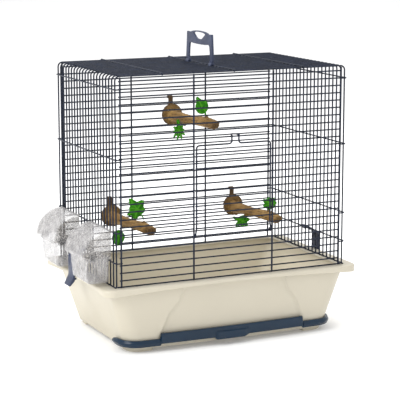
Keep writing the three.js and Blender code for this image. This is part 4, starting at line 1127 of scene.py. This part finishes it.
def make_hood(name, y):
    """Outer and inner skins joined round their open edges, with round cheeks over the pins and a
    slanted grip bar on each end wall."""
    (outer, frost), (inner, _) = hood_skin(y, 0), hood_skin(y, HOOD_WALL)
    rows, columns = outer.shape[:2]
    count = rows * columns
    quads = grid_faces(rows, columns, wrap=False)
    ring = np.concatenate([np.arange(columns), (rows - 1) * columns + np.arange(columns)[::-1]])
    ahead = np.roll(ring, -1)
    rim = np.stack([ahead, ring, ring + count, ahead + count], 1)
    mesh = Shell().take(np.stack([outer, inner]), [quads, quads[:, ::-1] + count, rim], frost)
    cheek = lug(7.5, 7.5, math.pi, 15, CHEEK_TOP)
    bar = closed_path([(-223.5, 187.5), (-222.0, 185.5), (-231.5, 176.8), (-233.0, 178.6)], 0.8, 3)
    for s in (-1, 1):
        for outline, near, far in ((cheek, -HOOD_WALL, 0), (bar, -0.6, 0.9)):
            ends = [y + s * (HOOD_HALF + end) for end in (near, far)]
            mesh.slab(outline, *ends, 0.5, Y)
    piece = mesh.piece(name + "_hood_clear", "clear_plastic", name + "_hood", [name + "_feeder_hood"])
    form = bmesh.new()
    form.from_mesh(piece.data)
    bmesh.ops.remove_doubles(form, verts=form.verts, dist=1e-6)
    written(form, piece.data)


# Perches and leaves

FOOT_BACK = HALF_DEPTH - WIRE_RADIUS - SEAT_GAP
FOOT_FRONT = FOOT_BACK - 5.0
BRANCH_RADIUS = 7.4
BRANCH_LENGTH = 152.0
BRANCH_DRIFT = 12.0
BRANCH_ALONG = (0, 0.08, 0.2, 0.4, 0.6, 0.77, 0.9, 1)
BRANCH_SIZE = (1.5, 1.38, 1.2, 1.02, 1.04, 1.2, 1.08, 0.95)
BRANCH_SAG = (0.35, 0.35, 0.3, 0.2, 0, -0.15, 0, 0.05)
# Twigs: place along the branch, reach in branch radii (below 0 downwards) and radius at the root
TWIGS = ((0.77, 1.5, 3.9), (0.28, -1.7, 4.4), (0.06, -1.9, 5.4))
TAB_PLACE = -2.5
TAB_HALF = 3.9
# Each perch: place across, height, height of the back wire that holds it, and seed of its bark
PERCHES = {
    "upper": (3.5, 344.0, 374.0, 11), "left": (-111.0, 176.0, 206.0, 23),
    "right": (121.5, 176.0, 206.0, 37)
}


def softened(t, shares):
    """The branch's shares at t, as a mean over a short stretch so that no station shows."""
    near = [np.interp(t + d, BRANCH_ALONG, shares) for d in np.linspace(-0.05, 0.05, 7)]
    return np.mean(near, axis=0)


def branch_middle(x, z, t, lift=0.0):
    """A point on the branch's middle line, raised by lift times its radius."""
    height = z - t + (lift - softened(t, BRANCH_SAG)) * BRANCH_RADIUS
    return np.stack([x + BRANCH_DRIFT * t, FOOT_FRONT + SEAT_GAP - BRANCH_LENGTH * t, height], -1)


def branch_skin(x, z, seed):
    """Rings along the middle line with furrows from sine waves, a swelling at each knot, and a tip
    that slants back towards its underside. The tone is darker in the furrows and at the tip."""
    t = np.concatenate([np.linspace(0, 0.975, 90), 0.975 + 0.025 * np.sin(np.linspace(0.1, 1.55, 9))])
    turn = round_turn(56)[None]
    along = t[:, None]
    furrow = ripple(turn, along * 5, seed, (5, 7, 9, 12))
    furrow = furrow + 0.5 * ripple(turn, along * 16, seed + 1, (3, 17))
    size = BRANCH_RADIUS * softened(t, BRANCH_SIZE)[:, None]
    cap = np.sqrt(np.clip(1 - ((along - 0.975) / 0.026).clip(0) ** 2, 0.01, 1))
    knot = 0.22 * np.exp(-(((along - 0.32) / 0.03) ** 2)) * np.exp(-(((turn - 4.4) / 0.5) ** 2))
    radius = size * (1 + 0.075 * furrow + knot) * cap
    middle = branch_middle(x, z, t)[:, None]
    up = radius * np.sin(turn)
    back = 0.5 * (size - up) * smooth(0.86, 1.0, along)
    spot = np.stack([radius * np.cos(turn), back + 0 * turn, up], -1)
    dark = smooth(-0.2, -1.0, furrow) * 0.75 + 0.5 * smooth(0.97, 1.0, along)
    return middle + spot, np.clip(dark, 0, 0.9)


def foot_skin(x, z, seed):
    """A disc with a rough dark rim: rings of a rounded profile whose radius carries small waves."""
    y = np.array([FOOT_BACK, FOOT_BACK, FOOT_BACK - 0.6, 120.4, FOOT_FRONT + 0.9, FOOT_FRONT + 0.2])
    y = np.concatenate([y, [FOOT_FRONT, FOOT_FRONT - 0.3, FOOT_FRONT - 0.8]])[:, None]
    r = np.array([0.4, 17.6, 18.6, 18.9, 18.7, 18.0, 16.6, 12.0, 0.4])[:, None]
    dark = np.array([0.3, 0.4, 0.65, 0.75, 0.8, 0.65, 0.4, 0.22, 0.22])[:, None]
    turn = round_turn(72)[None]
    rough = ripple(turn, y / 40, seed, (9, 16, 23, 31))
    size = r * (1 + 0.022 * rough * (r > 10) - 0.012)
    grid = np.stack([x + size * np.cos(turn), y + 0.25 * rough * (r > 10), z + size * np.sin(turn)], -1)
    return grid, np.clip(dark + 0.25 * rough * (r > 14), 0, 0.9)


def make_perch(name):
    """Branch, foot and twigs: wires that leave the branch straight up or down and grow thinner with
    the square of the way along. A bent tab hooks the foot over a back wire."""
    x, z, row, seed = PERCHES[name]
    shell = Shell()
    shell.tube(*branch_skin(x, z, seed))
    shell.tube(*foot_skin(x, z, seed + 5))
    over = row + WIRE_RADIUS + SEAT_GAP
    behind = HALF_DEPTH + WIRE_RADIUS + SEAT_GAP
    near, far = FOOT_FRONT + 0.8, behind + 1.2
    tab = [(near, z + 6), (FOOT_BACK, z + 6), (FOOT_BACK, over), (behind, over)]
    tab += [(behind, over - 4), (far, over - 4), (far, over + 1.2), (near, over + 1.2)]
    outline = closed_path(tab, (0.5, 0.5, 0.4, 0.4, 0.4, 0.4, 1.2, 3.0), 4)
    # Painted shade: the tab's dark tone stands in for the shade of the wires behind it.
    shell.slab(outline, x + TAB_PLACE - TAB_HALF, x + TAB_PLACE + TAB_HALF, 1.2, X, tone=0.8)
    reach = np.linspace(0, 1, 9)
    for t, lift, root in TWIGS:
        path = branch_middle(x, z, 0 * reach + t, lift * reach)
        thick = root - 1.3 * reach**2 + 0.25 * np.sin(reach * 17)
        shell.wire(path, Y, thick, 16, 0.5, tone=0.62)
    shell.piece(name + "_perch_bark", "brown_plastic", "cage", [name + "_perch"], angle=70)


# Each leaf: node, depth, stalk's foot, middle of the blade, size, lobes as turn, length and width,
# toothed edge, and how far the blade cups. Turns count from the right, in degrees.
LEAVES = (
    ("upper_perch_leaf_top", 0.9, (11.2, 357), (4.6, 370.5), 11.6, ((119, 1.6, 15),), 0.03, 1.6),
    (
        "upper_perch_leaf_low", 74.0, (-5.8, 339), (-4.0, 322.5), 7.2,
        (
            (94, 2.4, 15), (198, 1.4, 15), (230, 1.95, 12), (262, 2.2, 11), (292, 2.15, 11),
            (322, 1.9, 12), (0, 1.35, 14), (48, 1.45, 15), (148, 1.5, 14)
        ),
        0.14, 2.6
    ),
    (
        "left_perch_leaf_top", 0.9, (-101.5, 189.5), (-113.8, 207.6), 11.6,
        (
            (124, 1.8, 19), (48, 1.5, 22), (-14, 1.25, 22), (-100, 1.45, 20), (208, 1.55, 17),
            (168, 1.15, 14)
        ),
        0.07, 2.2
    ),
    (
        "left_perch_leaf_low", 74.0, (-112.5, 160.5), (-116.8, 146.3), 11.2,
        ((262, 1.15, 34), (84, 1.12, 30)), 0.04, 1.6
    ),
    (
        "right_perch_leaf_top", 0.9, (131.5, 186.5), (133.0, 197.0), 9.2,
        ((150, 1.5, 17), (100, 1.15, 15), (45, 1.3, 17), (0, 1.45, 15), (200, 1.3, 16), (-35, 1.25, 15)),
        0.10, 2.0
    ),
    (
        "right_perch_leaf_low", 74.0, (118.5, 162.5), (117.8, 155.5), 9.0,
        ((158, 2.1, 13), (212, 1.7, 18), (265, 1.1, 18), (318, 1.55, 16), (5, 1.6, 16), (60, 1.1, 18)),
        0.07, 2.0
    )
)


def angle_gap(a, b):
    """How far apart two turns are, in radians, the short way round."""
    return np.abs((a - b + math.pi) % (2 * math.pi) - math.pi)


def leaf_skin(depth, middle, size, lobes, teeth, cup, seed):
    """A blade on polar rings. Its radius is the size plus a bell for each lobe, with fine teeth. It
    cups backwards with the square of the way out, its veins stand proud, and a second layer behind
    gives its thickness. The tone is 1 along the veins."""
    turn = round_turn(108)[None]
    radius = 0 * turn + 1
    for at, length, width in lobes:
        bell = np.exp(-((angle_gap(turn, math.radians(at)) / math.radians(width)) ** 2))
        radius = np.maximum(radius, 1 + (length - 1) * bell)
    radius = radius * (1 + teeth * np.abs(np.sin(turn * 13.5)))
    out = np.concatenate([[0.02], np.linspace(0.12, 1, 13)])[:, None]
    vein = 0 * turn * out
    for at, length, width in lobes:
        side = angle_gap(turn, math.radians(at)) * out * radius
        vein = np.maximum(vein, np.exp(-((side / 0.075) ** 2)) * (out < 0.93))
    wave = 0.5 * ripple(turn, out * 3, seed, (2, 3, 5)) * out
    far = size * radius * out
    y = depth - 0.5 * vein + cup * (out * radius / radius.max()) ** 2 + 1.1 * wave
    front = np.stack([middle[0] + far * np.cos(turn), y, middle[1] + far * np.sin(turn)], -1)
    behind = front[::-1] + [0, 0.9, 0]
    edge = (front[-1:] + behind[:1]) / 2 + (front[-1:] - [middle[0], 0, middle[1]]) * [0.02, 0, 0.02]
    grid = np.concatenate([front, edge, behind])
    tone = 0.85 * np.concatenate([vein, 0 * vein[:1], vein[::-1]])
    return grid, tone


def make_leaf(seed, name, depth, foot, middle, size, lobes, teeth, cup):
    """A blade on a stalk that bends by half a sine wave and grows thinner towards the blade."""
    shell = Shell()
    shell.tube(*leaf_skin(depth, middle, size, lobes, teeth, cup, seed))
    t = np.linspace(0, 1, 8)[:, None]
    start, stop = np.array([foot[0], depth, foot[1]]), np.array([middle[0], depth + 0.6, middle[1]])
    stalk = start + (stop - start) * t + np.array([1.0, -0.4, 0]) * np.sin(t * math.pi)
    shell.wire(stalk, Y, 1.15 - 0.55 * t[:, 0], 10, tone=0.3)
    shell.piece(name + "_moulded", "green_plastic", "cage", [name], angle=60)


# Floor, lights, world and camera


# Each light: name, place in metres, side length in metres and power in watts
LIGHTS = (
    ("key", (-2.8, -0.7, 2.3), 2.0, 66), ("fill", (2.0, -3.0, 2.2), 2.5, 3),
    ("top", (0.2, 0.6, 3.2), 2.0, 56)
)


def make_stage():
    """A pale plain floor and soft studio light from the upper left."""
    plane = bpy.data.meshes.new("floor")
    reach = 9.0
    corners = [(x * reach, y * reach, 0) for x, y in ((-1, -1), (1, -1), (1, 1), (-1, 1))]
    plane.from_pydata(corners, [], [(0, 1, 2, 3)])
    paper = Finish("white_paper", (0.93, 0.93, 0.93), 0.9, 0.1)
    paper.shade("Emission Color", (1, 1, 1, 1))
    paper.shade("Emission Strength", 0.12)
    plane.materials.append(paper.material)
    floor = placed("floor", plane)
    for name, place, size, power in LIGHTS:
        light = bpy.data.lights.new(name, "AREA")
        light.size = size
        light.energy = power
        lamp = placed(name, light)
        lamp.location = place
        aim = Vector((0, 0, 0.2)) - Vector(place)
        lamp.rotation_euler = aim.to_track_quat("-Z", "Y").to_euler()


def make_world():
    world = bpy.data.worlds.new("studio")
    world.use_nodes = True
    back = world.node_tree.nodes["Background"]
    back.inputs["Color"].default_value = (1, 1, 1, 1)
    back.inputs["Strength"].default_value = 0.94
    bpy.context.scene.world = world
    bpy.context.scene.view_settings.view_transform = "Standard"


def make_camera():
    data = bpy.data.cameras.new("camera")
    data.lens = CAMERA_LENS
    data.sensor_width = 36
    data.shift_x, data.shift_y = CAMERA_SHIFT
    camera = placed("camera", data)
    camera.location = CAMERA_PLACE
    camera.rotation_euler = (math.pi / 2 - CAMERA_PITCH, 0, -CAMERA_YAW)
    bpy.context.scene.camera = camera


make_camera()
make_hoops()
make_side_rails()
make_roof_rails()
make_panel(
    "front_wires", -1,
    ["front_grille_lower", "front_grille_left", "front_grille_right", "front_grille_upper"]
)
make_panel("back_wires", 1, ["back_grille"])
make_door()
make_tray()
make_pan()
make_band()
make_handle()
make_clips()
for feeder, place in FEEDERS.items():
    make_cup(feeder, place)
    make_hood(feeder, place)
for perch in PERCHES:
    make_perch(perch)
for number, leaf in enumerate(LEAVES):
    make_leaf(number, *leaf)
make_stage()
make_world()
